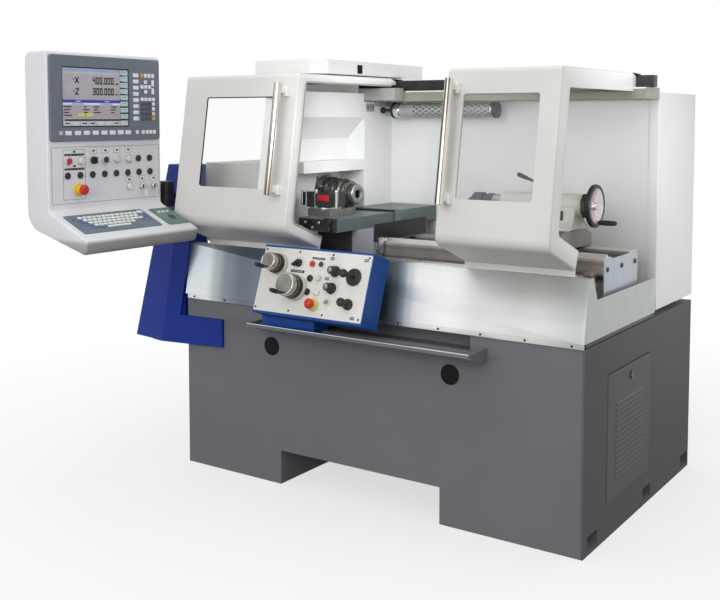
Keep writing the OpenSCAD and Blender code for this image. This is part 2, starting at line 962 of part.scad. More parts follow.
module jog_lever() {
  color("#1d1d1d") {
    knob(438, 72, 20, 30);
    on_panel(438, 72)
      translate([-12, -17, face + 36])
        cube([24, 34, 26]);
  }
}

module control_stop() {
  color("#d62a2f")
    on_panel(285, 55) {
      translate([0, 0, -4])
        cylinder(h = face + 26, r = 6, $fn = 48);
      translate([0, 0, face + 20])
        cylinder(h = 20, r = stop_r, $fn = 64);
    }
}

// Push-button seated in its hole
module push(u, v) {
  on_panel(u, v)
    translate([0, 0, -4])
      cylinder(h = face + 14, r = push_r, $fn = 48);
}

module run_button() {
  color("#d9dcd6")
    push(285, 157);
}

module halt_button() {
  color("#d62a2f")
    push(246, 208);
}

module console_case() {
  color("#c9cacc")
    difference() {
      union() {
        along_y(con_y, con_w)
          polygon([[con_x - con_t, con_z], [con_x, con_z], [con_x, fold_z], [con_x + 204, fold_z - 92],
            [con_x + 190, fold_z - 145], [con_x - con_t + 32, fold_z - 66], [con_x - con_t, fold_z - 24]]);
        translate([pivot_x, pivot_y, pivot_z])
          cylinder(h = 53, r = swivel_r, $fn = 64);
        translate([pivot_x - 25, con_y + con_w - 1, pivot_z])
          cube([50, pivot_y - con_y - con_w + 2, 46]);
        on_console(139, 76)
          cylinder(h = 12, r = stop_r, $fn = 64);
      }
      on_console(327, 183)
        translate([0, 0, -12])
          cylinder(h = 20, r = push_r + fit, $fn = 48);
      for (p = [[211, 183], [457, 72], [519, 72], [139, 76]])
        on_console(p[0], p[1])
          translate([0, 0, -12])
            cylinder(h = 40, r = 6 + fit, $fn = 48);
    }
}

module screen_unit() {
  color("#6b7480")
    difference() {
      translate([con_x, con_y + 8, fold_z + 256])
        cube([8, con_w - 18, 316]);
      translate([con_x + 5, con_y + 60, fold_z + 309])
        cube([4, 327, 223]);
    }
}

module keyboard() {
  color("#5a6a66")
    translate([con_x, con_y + 28, fold_z])
      rotate([0, ledge, 0])
        union() {
          translate([40, 0, 0])
            cube([135, 383, 3]);
          for (i = [0 : 3])
            translate([58 + i * 24, 40 + i * 8, 2])
              cube([18, 300, 3]);
        }
}

module console_stop() {
  color("#d62a2f")
    on_console(139, 76) {
      translate([0, 0, -4])
        cylinder(h = 28, r = 6, $fn = 48);
      translate([0, 0, 20])
        cylinder(h = 22, r = stop_r, $fn = 64);
    }
}

// Turning switch with a stem in the console face
module turn_switch(y, z, r) {
  on_console(y, z) {
    translate([0, 0, -8])
      cylinder(h = 16, r = 6, $fn = 48);
    translate([0, 0, fit])
      cylinder(h = 12, r = r, $fn = 64);
    translate([-3, -r * 0.8, 10])
      cube([6, r * 1.6, 14]);
  }
}

module console_knob() {
  color("#1d1d1d")
    turn_switch(211, 183, 15);
}

module console_start() {
  color("#d9dcd6")
    on_console(327, 183)
      translate([0, 0, -4])
        cylinder(h = 14, r = push_r, $fn = 48);
}

module key_switch_a() {
  color("#b9bcc0")
    turn_switch(457, 72, 13);
}

module key_switch_b() {
  color("#b9bcc0")
    turn_switch(519, 72, 13);
}

base_frame();
end_foot();
hole_plugs();
front_trough();
chip_tray();
bed();
headstock();
belt_cover();
chuck_wall();
rear_cabinet();
rail_beam();
door_rail();
work_lamp();
motor();
drive_belt();
spindle_bearings();
boom();
swivel_joint();
service_door();
service_latch();
left_door();
left_window();
left_handle();
right_door();
right_window();
right_handle();
spindle();
collet_nose();
motor_pulley();
saddle();
cross_slide();
slide_cover();
toolpost();
toolpost_lever();
z_screw();
tailstock();
quill();
live_center();
tail_handwheel();
clamp_lever();
control_box();
control_plate();
x_handwheel();
z_handwheel();
mode_knob();
feed_knob();
speed_knob();
joystick();
jog_lever();
control_stop();
run_button();
halt_button();
console_case();
screen_unit();
keyboard();
console_stop();
console_knob();
console_start();
key_switch_a();
key_switch_b();
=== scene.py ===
"""Looks of a flat-bed turning lathe: sheet doors, stainless tray, hand panel, swivel console and the working parts."""
import math

import bmesh
import bpy
import numpy as np
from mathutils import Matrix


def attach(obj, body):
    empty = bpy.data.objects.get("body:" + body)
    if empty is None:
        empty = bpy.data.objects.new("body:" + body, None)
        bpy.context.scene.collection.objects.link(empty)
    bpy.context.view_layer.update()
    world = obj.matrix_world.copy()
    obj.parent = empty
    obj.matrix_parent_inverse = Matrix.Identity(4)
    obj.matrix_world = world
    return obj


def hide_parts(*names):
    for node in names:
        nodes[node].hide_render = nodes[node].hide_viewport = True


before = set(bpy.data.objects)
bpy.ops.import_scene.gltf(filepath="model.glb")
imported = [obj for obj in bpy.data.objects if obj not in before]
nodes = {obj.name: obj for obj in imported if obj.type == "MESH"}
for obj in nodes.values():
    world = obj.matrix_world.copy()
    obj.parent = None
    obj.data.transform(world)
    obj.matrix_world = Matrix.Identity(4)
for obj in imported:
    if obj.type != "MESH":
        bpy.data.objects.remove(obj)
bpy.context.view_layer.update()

scene = bpy.context.scene
MM = 0.001
X, Y, Z = np.eye(3)
SHARP = math.radians(32)
QUARTER = np.linspace(0, math.pi / 2, 4)
CORNER_STEPS = 5


# Shapes, all in millimetres

def unit(v):
    """Vector divided by its length."""
    v = np.asarray(v, float)
    return v / np.linalg.norm(v)


def skin(rings, ends=(True, True)):
    """Quads between closed rings with equal point counts, closed at each end by one flat face where asked."""
    rings = np.asarray(rings, float)
    r, c, _ = rings.shape
    i = np.arange(r - 1)[:, None] * c
    j = np.arange(c)
    k = (j + 1) % c
    faces = np.stack([i + j, i + k, i + c + k, i + c + j], -1).reshape(-1, 4).tolist()
    if ends[0]:
        faces.append(list(range(c))[::-1])
    if ends[1]:
        faces.append(list(range((r - 1) * c, r * c)))
    return rings.reshape(-1, 3), faces


def eased(points, reach, n=4, closed=True):
    """Corners replaced by parabolas that start and end at the given reach before and behind each corner."""
    p = np.asarray(points, float)
    a = np.roll(p, 1, 0) - p
    b = np.roll(p, -1, 0) - p
    la = np.maximum(np.linalg.norm(a, axis=1), 1e-9)
    lb = np.maximum(np.linalg.norm(b, axis=1), 1e-9)
    t = np.minimum(reach, 0.49 * np.minimum(la, lb))[:, None]
    u = np.linspace(0, 1, n + 1)[None, :, None]
    s = (p + a / la[:, None] * t)[:, None]
    e = (p + b / lb[:, None] * t)[:, None]
    out = ((1 - u) ** 2 * s + 2 * u * (1 - u) * p[:, None] + u * u * e).reshape(-1, p.shape[1])
    return out if closed else np.vstack([p[:1], out[n + 1:-n - 1], p[-1:]])


def outline(w, h, radius):
    """Rounded rectangle about the origin: four quarter circles joined by straight sides."""
    radius = min(max(radius, 0.01), w / 2 - 0.001, h / 2 - 0.001)
    a = np.arange(4)[:, None] * math.pi / 2 + np.linspace(0, math.pi / 2, CORNER_STEPS + 1)
    x = (w / 2 - radius) * np.array([1, -1, -1, 1])[:, None] + radius * np.cos(a)
    y = (h / 2 - radius) * np.array([1, 1, -1, -1])[:, None] + radius * np.sin(a)
    return np.column_stack([x.ravel(), y.ravel()])


def level(ring, z):
    """Flat ring lifted to height z."""
    return np.column_stack([ring, np.full(len(ring), float(z))])


def pad(w, h, z0, z1, radius, edge, at=(0, 0)):
    """Rounded plate: its outline is drawn in along a quarter circle at the upper edge."""
    rows = [(0.0, z0)] + list(zip(edge * (1 - np.cos(QUARTER)), z1 - edge + edge * np.sin(QUARTER)))
    return skin([level(outline(w - 2 * d, h - 2 * d, radius - d) + at, z) for d, z in rows])


def turned(profile, n=48, teeth=0, depth=0.0):
    """Body of revolution about Z from rows of radius and height; ends on the axis close as poles, and with teeth the
    outer radii swing by the depth, one wave per tooth."""
    r, z = np.asarray(profile, float).T[:, :, None]
    a = np.arange(n) * 2 * math.pi / n
    k = r - depth * (r > 0.5 * r.max()) * (0.5 + 0.5 * np.cos(teeth * a))
    rings = np.stack([k * np.cos(a), k * np.sin(a), np.repeat(z, n, 1)], -1)
    return skin(rings, (r[0, 0] > 0, r[-1, 0] > 0))


def lathed(profile, reach, n=3, around=48, **wave):
    """Body of revolution whose profile has eased corners."""
    return turned(eased(profile, reach, n, closed=False), around, **wave)


def hoop(profile, reach, n, around):
    """Ring turned from a closed profile with eased corners."""
    ring = eased(profile, reach, n)
    return turned(np.vstack([ring, ring[:1]]), around)


def head(r, z0, z1, top, ease, around, lead=0.2):
    """Screw head: straight side from z0 to z1 and a faint dome up to the top."""
    return lathed([(0, z0), (r, z0), (r, z1), (0, top)], [0, lead, ease, 0], 3, around)


def collar(r, z0, z1, hole=0.0):
    """Bezel ring with an eased outer edge, open or closed in the middle."""
    return lathed([(hole, z0), (r, z0), (r, z1), (hole, z1)], [0, 0.3, min(2, (z1 - z0) / 2), 0], 3, 32)


def mushroom(r, foot, top):
    """Emergency-stop cap: straight skirt, domed crown and a stem."""
    profile = [(6, foot), (6, top - 20), (r - 3, top - 20), (r, top - 14), (r, top - 8), (r * 0.6, top), (0, top)]
    return lathed(profile, [0, 0, 2, 3, 5, 6, 0], 5, 44)


def inset(ring, d):
    """Outline moved inward by d along the mean of its two edge normals at each corner."""
    p = np.asarray(ring, float)
    e = np.roll(p, -1, 0) - p
    e = e / np.maximum(np.linalg.norm(e, axis=1), 1e-9)[:, None]
    area = np.sum(p[:, 0] * np.roll(p[:, 1], -1) - np.roll(p[:, 0], -1) * p[:, 1])
    nrm = np.column_stack([-e[:, 1], e[:, 0]]) * np.sign(area)
    m = np.roll(nrm, 1, 0)
    return p + d * (nrm + m) / np.maximum(1 + np.sum(nrm * m, 1), 0.4)[:, None]


def bar(ring, z0, z1, edge):
    """Outline carried along Z, drawn in by a quarter circle at both ends."""
    drawn = edge * (1 - np.cos(QUARTER))
    run = edge * np.sin(QUARTER)
    rows = list(zip(drawn[::-1], z0 + edge - run[::-1])) + list(zip(drawn, z1 - edge + run))
    return skin([level(inset(ring, d), z) for d, z in rows])


def tube(path, radius, n, ref=Z):
    """Circle carried along a path; radius is one number or one for each point."""
    p = np.asarray(path, float)
    t = np.gradient(p, axis=0)
    t = t / np.linalg.norm(t, axis=1)[:, None]
    u = np.cross(t, ref)
    u = u / np.maximum(np.linalg.norm(u, axis=1), 1e-9)[:, None]
    v = np.cross(t, u)
    a = (np.arange(n) * 2 * math.pi / n)[None, :, None]
    r = np.broadcast_to(radius, len(p))[:, None, None]
    return skin(p[:, None] + r * (np.cos(a) * u[:, None] + np.sin(a) * v[:, None]))


def lay(shape, o, ex=X, ey=Y, ez=Z, code=None):
    """Shape set in a frame of origin o and three axes; a colour code goes to its tint attribute."""
    tint = shape[2:] if code is None else (code,)
    return (np.asarray(shape[0]) @ np.array([ex, ey, ez], float) + np.asarray(o, float), shape[1], *tint)


def along_x(shape, o=(0, 0, 0)):
    """Shape whose Z runs along the machine: local X goes to Y and local Y to Z."""
    return lay(shape, o, Y, Z, X)


def forward(shape, o):
    """Shape whose Z points to the front of the machine: local X stays and local Y goes to Z."""
    return lay(shape, o, X, Z, -Y)


def cut_block(low, high, gaps):
    """Block with boxes taken out: its cut lines take in every side of the gaps, a cell is solid unless its middle lies
    in a gap, and a quad stands wherever a solid cell meets an empty one."""
    sides = np.array(gaps, float)
    ends = np.array([low, high], float)
    cuts = np.clip(np.vstack([sides.reshape(-1, 3), ends]), *ends)
    axes = [np.unique(column) for column in cuts.T]
    middle = np.stack(np.meshgrid(*[(a[1:] + a[:-1]) / 2 for a in axes], indexing="ij"), -1)
    solid = np.ones(middle.shape[:3], bool)
    for near, far in gaps:
        solid &= ~np.all((middle > near) & (middle < far), -1)
    step = np.array([len(axes[1]) * len(axes[2]), len(axes[2]), 1])
    full = np.pad(solid, 1).astype(int)
    quads = []
    for k, i, j in ((0, 1, 2), (1, 2, 0), (2, 0, 1)):
        at = np.argwhere(np.diff(full, axis=k))
        at[:, [i, j]] -= 1
        first = at @ step
        quads.append(np.stack([first, first + step[i], first + step[i] + step[j], first + step[j]], 1))
    points = np.stack(np.meshgrid(*axes, indexing="ij"), -1).reshape(-1, 3)
    return points, np.vstack(quads).tolist()


def round_edges(piece, width):
    """Bevel modifier that eases sharp edges by a width in millimetres."""
    ease = piece.modifiers.new("ease", "BEVEL")
    ease.width = width * MM
    ease.segments = 2
    ease.limit_method = "ANGLE"
    ease.angle_limit = SHARP


def put(name, body, material, shapes, replaces=(), ease=0.0):
    """Join shapes into one mesh at the origin, merge its doubles, face it outward and let it ride on a body."""
    verts = np.vstack([s[0] for s in shapes]) * MM
    starts = np.cumsum([0] + [len(s[0]) for s in shapes])
    faces = [[i + k for i in f] for s, k in zip(shapes, starts) for f in s[1]]
    mesh = bpy.data.meshes.new(name)
    mesh.from_pydata(verts.tolist(), [], faces)
    if any(len(s) > 2 for s in shapes):
        tint = mesh.attributes.new("tint", "FLOAT_COLOR", "POINT")
        rgba = np.vstack([np.tile(lin(s[2]), (len(s[0]), 1)) for s in shapes])
        tint.data.foreach_set("color", rgba.ravel())
    bm = bmesh.new()
    bm.from_mesh(mesh)
    bmesh.ops.remove_doubles(bm, verts=bm.verts, dist=2e-6)
    bmesh.ops.dissolve_degenerate(bm, edges=bm.edges, dist=1e-6)
    bmesh.ops.delete(bm, geom=[v for v in bm.verts if not v.link_faces], context="VERTS")
    bmesh.ops.recalc_face_normals(bm, faces=bm.faces)
    bm.to_mesh(mesh)
    bm.free()
    mesh.polygons.foreach_set("use_smooth", np.ones(len(mesh.polygons), bool))
    mesh.set_sharp_from_angle(angle=SHARP)
    piece = bpy.data.objects.new(name, mesh)
    scene.collection.objects.link(piece)
    mesh.materials.append(material)
    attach(piece, body)
    if replaces:
        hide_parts(*replaces)
    if ease:
        round_edges(piece, ease)


# Materials


def lin(code):
    """Hex sRGB colour as linear RGBA: each channel through the standard curve."""
    c = np.array([int(code[i:i + 2], 16) for i in (1, 3, 5)]) / 255.0
    c = np.where(c <= 0.04045, c / 12.92, ((c + 0.055) / 1.055) ** 2.4)
    return (*c.tolist(), 1.0)


def add(tree, kind, settings=None, links=None):
    """Add one shader node, set its properties and sockets, and link sources to its sockets."""
    node = tree.nodes.new("ShaderNode" + kind)
    for key, value in (settings or {}).items():
        if isinstance(key, int) or key in node.inputs:
            node.inputs[key].default_value = value
        else:
            setattr(node, key, value)
    for key, source in (links or {}).items():
        tree.links.new(source, node.inputs[key])
    return node


def calc(tree, kind, *terms):
    """Output of one math node whose terms are sockets or numbers."""
    fixed = {i: v for i, v in enumerate(terms) if isinstance(v, float)}
    linked = {i: v for i, v in enumerate(terms) if i not in fixed}
    return add(tree, "Math", {"operation": kind, **fixed}, linked).outputs[0]


def ramp(tree, factor, stops, blend="LINEAR"):
    """Colour that follows a factor through rows of place and colour."""
    node = add(tree, "ValToRGB", None, {"Fac": factor})
    scale = node.color_ramp
    scale.interpolation = blend
    for place, code in stops[1:-1]:
        scale.elements.new(place).color = lin(code)
    for end, (place, code) in zip((scale.elements[0], scale.elements[-1]), (stops[0], stops[-1])):
        end.position = place
        end.color = lin(code)
    return node.outputs["Color"]


def new_tree(name):
    """Empty material with its node tree."""
    mat = bpy.data.materials.new(name)
    mat.use_nodes = True
    mat.node_tree.nodes.clear()
    return mat, mat.node_tree


def finish(name, slot, base, shade, rough, metal=0.0, drift=260, grain=2, lift=0.15, spread=0.05, more=None, tint=False,
           bands=(), ends=(0.3, 0.7), axis="X"):
    """Colour drifts from shade to base over drift millimetres, gloss spreads with it, and a grain of the given
    millimetres lifts the surface. With tint the drift shades the piece's own tint attribute, and with bands it shades
    tones that follow each other along one axis at the given metres, over 2 m each way from the middle. The slot is not
    used."""
    mat, t = new_tree(name)
    at = add(t, "TexCoord").outputs["Object"]
    wide, fine = (add(t, "Mapping", {"Scale": tuple(1000.0 / np.broadcast_to(size, 3))}, {"Vector": at}).outputs[0]
                  for size in (drift, grain))
    cloud = add(t, "TexNoise", {"Scale": 1.0, "Detail": 4.0, "Roughness": 0.55}, {"Vector": wide}).outputs["Fac"]
    colour = ramp(t, cloud, list(zip(ends, (shade, base))))
    if tint or bands:
        own = add(t, "Attribute", {"attribute_name": "tint"}).outputs["Color"]
        if bands:
            along = add(t, "SeparateXYZ", None, {0: at}).outputs[axis]
            share = add(t, "MapRange", {"From Min": -2.0, "From Max": 2.0}, {"Value": along}).outputs[0]
            own = ramp(t, share, [((x + 2) / 4, code) for x, code in bands], "EASE")
        colour = add(t, "Mix", {"data_type": "RGBA", "blend_type": "MULTIPLY", 0: 1.0}, {6: own, 7: colour}).outputs[2]
    gloss = add(t, "MapRange", {"From Min": 0.3, "From Max": 0.7, "To Min": rough - spread, "To Max": rough + spread},
                {"Value": cloud}).outputs[0]
    peel = add(t, "TexNoise", {"Scale": 1.0, "Detail": 2.0}, {"Vector": fine}).outputs["Fac"]
    bump = add(t, "Bump", {"Strength": lift, "Distance": 0.0004}, {"Height": peel})
    shader = add(t, "BsdfPrincipled", {"Metallic": metal, **(more or {})},
                 {"Base Color": colour, "Roughness": gloss, "Normal": bump.outputs[0]})
    add(t, "OutputMaterial", None, {"Surface": shader.outputs[0]})
    return mat


def family(**shared):
    """Finish maker whose members share some settings."""
    return lambda *row, **own: finish(*row, **{**shared, **own})


def dull(share):
    """Setting that weakens the mirror part of a paint."""
    return {"Specular IOR Level": share}


# Powder coat: a satin skin with a fine orange peel, drawn 4 mm coarse so that it shows, and a slow drift of tone
coat = family(grain=4, lift=0.06)
white_coat = coat("powder_coat_warm_white", "door_paint", "#E2E0DC", "#DAD8D4", 0.42)
# Brighter white: paint of the handle blocks and the door stile; on the door flange strips it is a lit copy of the door
# white, and on the beam's thin strip a painted highlight
bright_coat = coat("powder_coat_bright_white", "white_paint", "#F4F4F2", "#EDEDEA", 0.36, lift=0.05)
cabinet_coat = coat("powder_coat_cabinet_white", "white_paint", "#E6E7E6", "#DFE1E1", 0.42)
wall_coat = coat("powder_coat_inner_white", "white_paint", "#EDEEED", "#E4E6E6", 0.4, lift=0.05)
# Painted shade: the bands darken the base's right side, at the end of X
base_coat = coat("powder_coat_mid_grey", "grey_paint", "#7B7C80", "#75767A", 0.6, lift=0.08, more=dull(0.12),
                 bands=((-1.0, "#FFFFFF"), (0.899, "#FFFFFF"), (0.905, "#C8C8C7"), (1.0, "#C8C8C7")))
hatch_coat = coat("powder_coat_hatch_grey", None, "#6A6A6B", "#646465", 0.6, lift=0.08, more=dull(0.12))
boom_coat = coat("powder_coat_deep_blue", None, "#1C3998", "#173088", 0.5, more=dull(0.2))
box_coat = coat("powder_coat_panel_blue", None, "#174E9E", "#134592", 0.45, more=dull(0.25))
# Structured coat with a metal flake: silver with a lilac cast, a pebbled skin of about 3 mm and painted shade that
# darkens the lower lip towards the bottom
console_coat = finish("silver_structure_coat", "console_paint", "#FFFFFF", "#F6F6F8", 0.4, metal=0.1, grain=3,
                      lift=0.18, axis="Z",
                      bands=((1.0, "#918F8D"), (1.045, "#ACABAB"), (1.064, "#E2E3E6"), (1.74, "#E2E3E6")))
# Casting paint: thicker, with a slightly wavy surface over the cast skin
cast = family(grain=9, lift=0.12)
head_coat = cast("casting_paint_grey_green", None, "#DCDDD6", "#D0D1CA", 0.45)
saddle_coat = cast("casting_paint_lilac_grey", None, "#9C9CA3", "#8F8F97", 0.45)
slide_coat = cast("casting_paint_slate", None, "#687676", "#5C6969", 0.4, lift=0.1)
cream_coat = cast("casting_paint_cream", "cream_paint", "#DAD9CE", "#CDCCC1", 0.42)
beam_coat = cast("casting_paint_grey_beige", None, "#9A9B8E", "#8C8D81", 0.45, grain=6, lift=0.08)
bracket_coat = cast("casting_paint_mid_grey", "cream_paint", "#A2A2A0", "#959593", 0.42, grain=6, lift=0.08)
# Brushed stainless sheet: hairlines along the tray, 1 mm wide, drawn 3 mm wide, with painted reflections of the studio
# lamps as tones along X and painted shade on the tray's right end
stainless = finish("brushed_stainless", "stainless", "#FFFFFF", "#F0F1F2", 0.44, metal=0.6, drift=(520, 60, 60),
                   grain=(160, 3, 3), lift=0.1,
                   bands=((-0.9, "#F2F9FD"), (-0.79, "#F4FBFF"), (-0.745, "#C2CCCD"), (-0.685, "#8F9AA4"),
                          (-0.6, "#747E8C"), (-0.45, "#848E9C"), (0.1, "#5A646C"), (0.15, "#616B72"),
                          (0.175, "#8894A0"), (0.21, "#DCE2E4"), (0.245, "#FFFFFF"), (0.36, "#FCFEFB"),
                          (0.52, "#E4E6E3"), (0.7, "#D6D8D4"), (0.9, "#B4B7B4"), (0.9055, "#BBBFBB")))
# Ground and turned steel: bright with fine cross lines
ground = finish("ground_steel", "steel", "#C4C6C5", "#B0B3B3", 0.3, metal=0.9, drift=(60, 12, 60), grain=(30, 2, 30),
                lift=0.08)
turned_steel = finish("turned_steel", "steel", "#B6B8B8", "#9EA1A1", 0.3, metal=0.95, drift=(6, 60, 60),
                      grain=(2, 40, 40), lift=0.08)
# Scraped bed casting: bright ways above, a dark flank under them and a pale painted foot
bed_steel = finish("scraped_bed_casting", None, "#FFFFFF", "#EDECEA", 0.34, metal=0.5, drift=(60, 12, 60),
                   grain=(30, 2, 30), lift=0.08, axis="Z",
                   bands=((0.74, "#BDBDBA"), (0.915, "#BDBDBA"), (0.922, "#4E4B48"), (0.944, "#4E4B48"),
                          (0.95, "#A39B93"), (0.975, "#A39B93"), (0.98, "#6E6862"), (0.992, "#BDB7B0"),
                          (1.0, "#DAD6CF")))
# End plate of the bed: ground, with a cool blue cast
bed_plate = finish("ground_steel_blue", "steel", "#B3BDC4", "#A3ADB5", 0.34, metal=0.5, drift=(90, 40, 90),
                   grain=(3, 30, 3), lift=0.06)
# Oil-brown steel of the tool carrier and the collet body: satin with a worn, warm tone
brown_steel = finish("oil_brown_steel", "steel", "#8F8884", "#7C7571", 0.34, metal=0.55, drift=40, grain=3, lift=0.08)
collet_steel = finish("collet_steel", "dark_steel", "#8E8A84", "#514D48", 0.26, metal=0.75, drift=(8, 60, 60),
                      grain=(3, 30, 30), lift=0.06)
# Blackened tool steel: oil-black, satin, with slightly worn tone
tool_steel = family(grain=3, lift=0.1)
black_steel = tool_steel("blackened_steel", "dark_steel", "#3A3A3B", "#2E2E30", 0.38, metal=0.6, drift=40)
dark_steel = tool_steel("oiled_dark_steel", "dark_steel", "#55585A", "#45484A", 0.36, metal=0.7, drift=50)
# Polished bezels and rods: nearly a mirror
chrome = finish("polished_steel", "polished", "#D6D8DA", "#C6C9CC", 0.14, metal=1.0, drift=(80, 80, 30),
                grain=(20, 20, 4), lift=0.02, spread=0.03)
# Polished tube: bright and dark streaks along its length, 7 mm apart round it, painted reflections
tube_metal = finish("polished_tube_painted_streaks", "polished", "#E6E1D4", "#4A443B", 0.24, metal=0.6, drift=(7, 900, 900),
                    grain=(7, 70, 70), lift=0.5, spread=0.04, ends=(0.44, 0.56))
# Spun aluminium: rosy silver on the tail wheel, warm beige on the hand wheel skirts and a darker olive on their dishes,
# darkened as painted shade of the dished faces
spun = family(grain=3, lift=0.04)
rosy_alu = spun("spun_aluminium_rosy", "wheel_alu", "#D2C9CD", "#C0B6BB", 0.22, metal=0.85, drift=24)
dish_alu = spun("spun_aluminium_beige", "wheel_alu", "#BDBCAD", "#ADAB9C", 0.22, metal=0.8, drift=40, lift=0.05)
dish_dark = spun("spun_aluminium_olive", "wheel_alu", "#97968A", "#7A796D", 0.18, metal=0.8, drift=30)
# Moulded plastic: fine erosion texture, soft highlight
moulded = family(drift=25, lift=0.05)
black_plastic = moulded("moulded_black_plastic", "black_plastic", "#1E1E20", "#161618", 0.42, drift=30, lift=0.1)
red_plastic = moulded("moulded_red_plastic", "red_plastic", "#D3252B", "#C21E25", 0.3)
yellow_plastic = moulded("moulded_yellow_plastic", "clear_plastic", "#E9C21E", "#DDB516", 0.34)
pale_plastic = moulded("moulded_pale_yellow_plastic", "clear_plastic", "#DEDBA8", "#D2CF9C", 0.4)
cream_plastic = moulded("moulded_cream_plastic", "plate_white", "#CFCBBB", "#C2BEAE", 0.4, drift=30, lift=0.06)
slate_plastic = moulded("moulded_slate_plastic", "slate_plastic", "#6E7783", "#656E7A", 0.42, drift=60, lift=0.1)
# Rubber: dull, slightly mottled
rubber = family(drift=30, grain=3)
seal_rubber = rubber("seal_rubber_grey_green", "belt_rubber", "#A8ADA6", "#9BA099", 0.62, lift=0.1)
black_rubber = rubber("black_rubber", "belt_rubber", "#161617", "#0F0F10", 0.65, lift=0.12, more=dull(0.15))
# Printed and moulded small parts: each keeps its own colour, with a faint mottle
printed = finish("printed_film", "slate_plastic", "#FFFFFF", "#F1F1F1", 0.4, drift=40, lift=0.04, tint=True)
key_plastic = finish("key_plastic", "clear_plastic", "#FFFFFF", "#EFEFEF", 0.36, drift=20, lift=0.06, tint=True)
# Film plates under the controls: smooth, even, with a soft sheen
plate_film = finish("plate_film_off_white", "plate_white", "#E6E5DF", "#DBDAD3", 0.42, drift=90, grain=3, lift=0.05)
key_film = finish("key_film_grey_green", "key_film", "#677B83", "#5D7079", 0.5, drift=60, lift=0.08)
# Clear sheet and tube: see-through with a faint grey veil and a soft mirror
clear = family(lift=0.01, spread=0.02)
pane_clear = clear("clear_polycarbonate", None, "#E4EAEC", "#D6DEE2", 0.08, drift=300, grain=60,
                   more={"Alpha": 0.05, "IOR": 1.58})
lamp_glass = clear("lamp_glass", "lamp_glass", "#EDF1F2", "#DDE3E5", 0.08, drift=60, grain=20,
                   more={"Alpha": 0.22, "IOR": 1.5})


# Camera at the photograph's place: nearly level, with the frame let down

IMAGE_WIDTH = 720
SENSOR = 36.0
FOCAL_PIXELS = 1030.55
SHIFT_PIXELS = -112
PITCH_DOWN = 3.905
HEADING = 34.376


def set_camera():
    """Camera from its fitted place, heading and focal length in pixels of a 720 wide image."""
    data = bpy.data.cameras.new("camera")
    data.sensor_width = SENSOR
    data.lens = FOCAL_PIXELS / IMAGE_WIDTH * SENSOR
    data.shift_y = SHIFT_PIXELS / IMAGE_WIDTH
    eye = bpy.data.objects.new("camera", data)
    eye.location = (2.1988, -3.8071, 1.4949)
    eye.rotation_euler = (math.radians(90 - PITCH_DOWN), 0.0, math.radians(HEADING))
    scene.collection.objects.link(eye)
    scene.camera = eye


# Lamps: name, place and target in metres, width, watts and spread in degrees
LAMPS = (("key", (1.0, -6.5, 2.8), (0.0, 0.0, 1.1), 3.2, 112, 180),
         ("top", (0.2, -0.6, 4.6), (0, -0.2, 0.8), 3.4, 18, 180),
         ("right", (4.2, 0.9, 2.0), (0.9, 0.35, 1.1), 1.0, 1.2, 28),
         ("inner", (0.42, -1.6, 1.7), (-0.34, -0.1, 1.32), 0.5, 0.4, 36),
         ("side", (0.3, -0.5, 1.48), (-0.42, -0.27, 1.36), 0.3, 0.55, 90),
         ("wall", (3.4, -2.4, 1.6), (0.62, 0.12, 1.5), 0.3, 0.75, 18))
FLOOR_HALF = 9.0
FLOOR_BOUNCE = 0.14
SKY_LIGHT = 0.82


def seen(tree):
    """Camera ray of a tree, and one for camera, transmission and glossy rays together."""
    ray = add(tree, "LightPath").outputs
    both = calc(tree, "MAXIMUM", ray["Is Camera Ray"], ray["Is Transmission Ray"])
    return ray["Is Camera Ray"], calc(tree, "MAXIMUM", both, ray["Is Glossy Ray"])


def set_floor():
    """Pale floor that keeps the shadow, glows white further out and throws little light back on the machine."""
    mat, t = new_tree("studio_floor")
    camera, sees = seen(t)
    at = add(t, "TexCoord").outputs["Object"]
    away = add(t, "VectorMath", {"operation": "LENGTH"}, {0: at}).outputs["Value"]
    clearing = add(t, "MapRange", {"From Min": 1.5, "From Max": 3.2, "To Min": 0.66, "To Max": 1.0}, {"Value": away})
    share = calc(t, "MULTIPLY", sees, clearing.outputs[0])
    speck = add(t, "TexNoise", {"Scale": 3.0, "Detail": 3.0}, {"Vector": at}).outputs["Fac"]
    tone = ramp(t, speck, ((0.0, "#EDEDED"), (1.0, "#F4F4F4")))
    dim = add(t, "MapRange", {"To Min": FLOOR_BOUNCE, "To Max": 1.0}, {"Value": camera}).outputs[0]
    tone = add(t, "VectorMath", {"operation": "SCALE"}, {0: tone, "Scale": dim}).outputs[0]
    matt = add(t, "BsdfDiffuse", None, {"Color": tone}).outputs[0]
    glow = add(t, "Emission", {"Color": (1, 1, 1, 1), "Strength": 1.0}).outputs[0]
    both = add(t, "MixShader", None, {0: share, 1: matt, 2: glow}).outputs[0]
    add(t, "OutputMaterial", None, {"Surface": both})
    mesh = bpy.data.meshes.new("floor")
    corners = FLOOR_HALF * np.array([[-1, -1, 0], [1, -1, 0], [1, 1, 0], [-1, 1, 0]])
    mesh.from_pydata(corners.tolist(), [], [[0, 1, 2, 3]])
    mesh.materials.append(mat)
    floor = bpy.data.objects.new("floor", mesh)
    scene.collection.objects.link(floor)


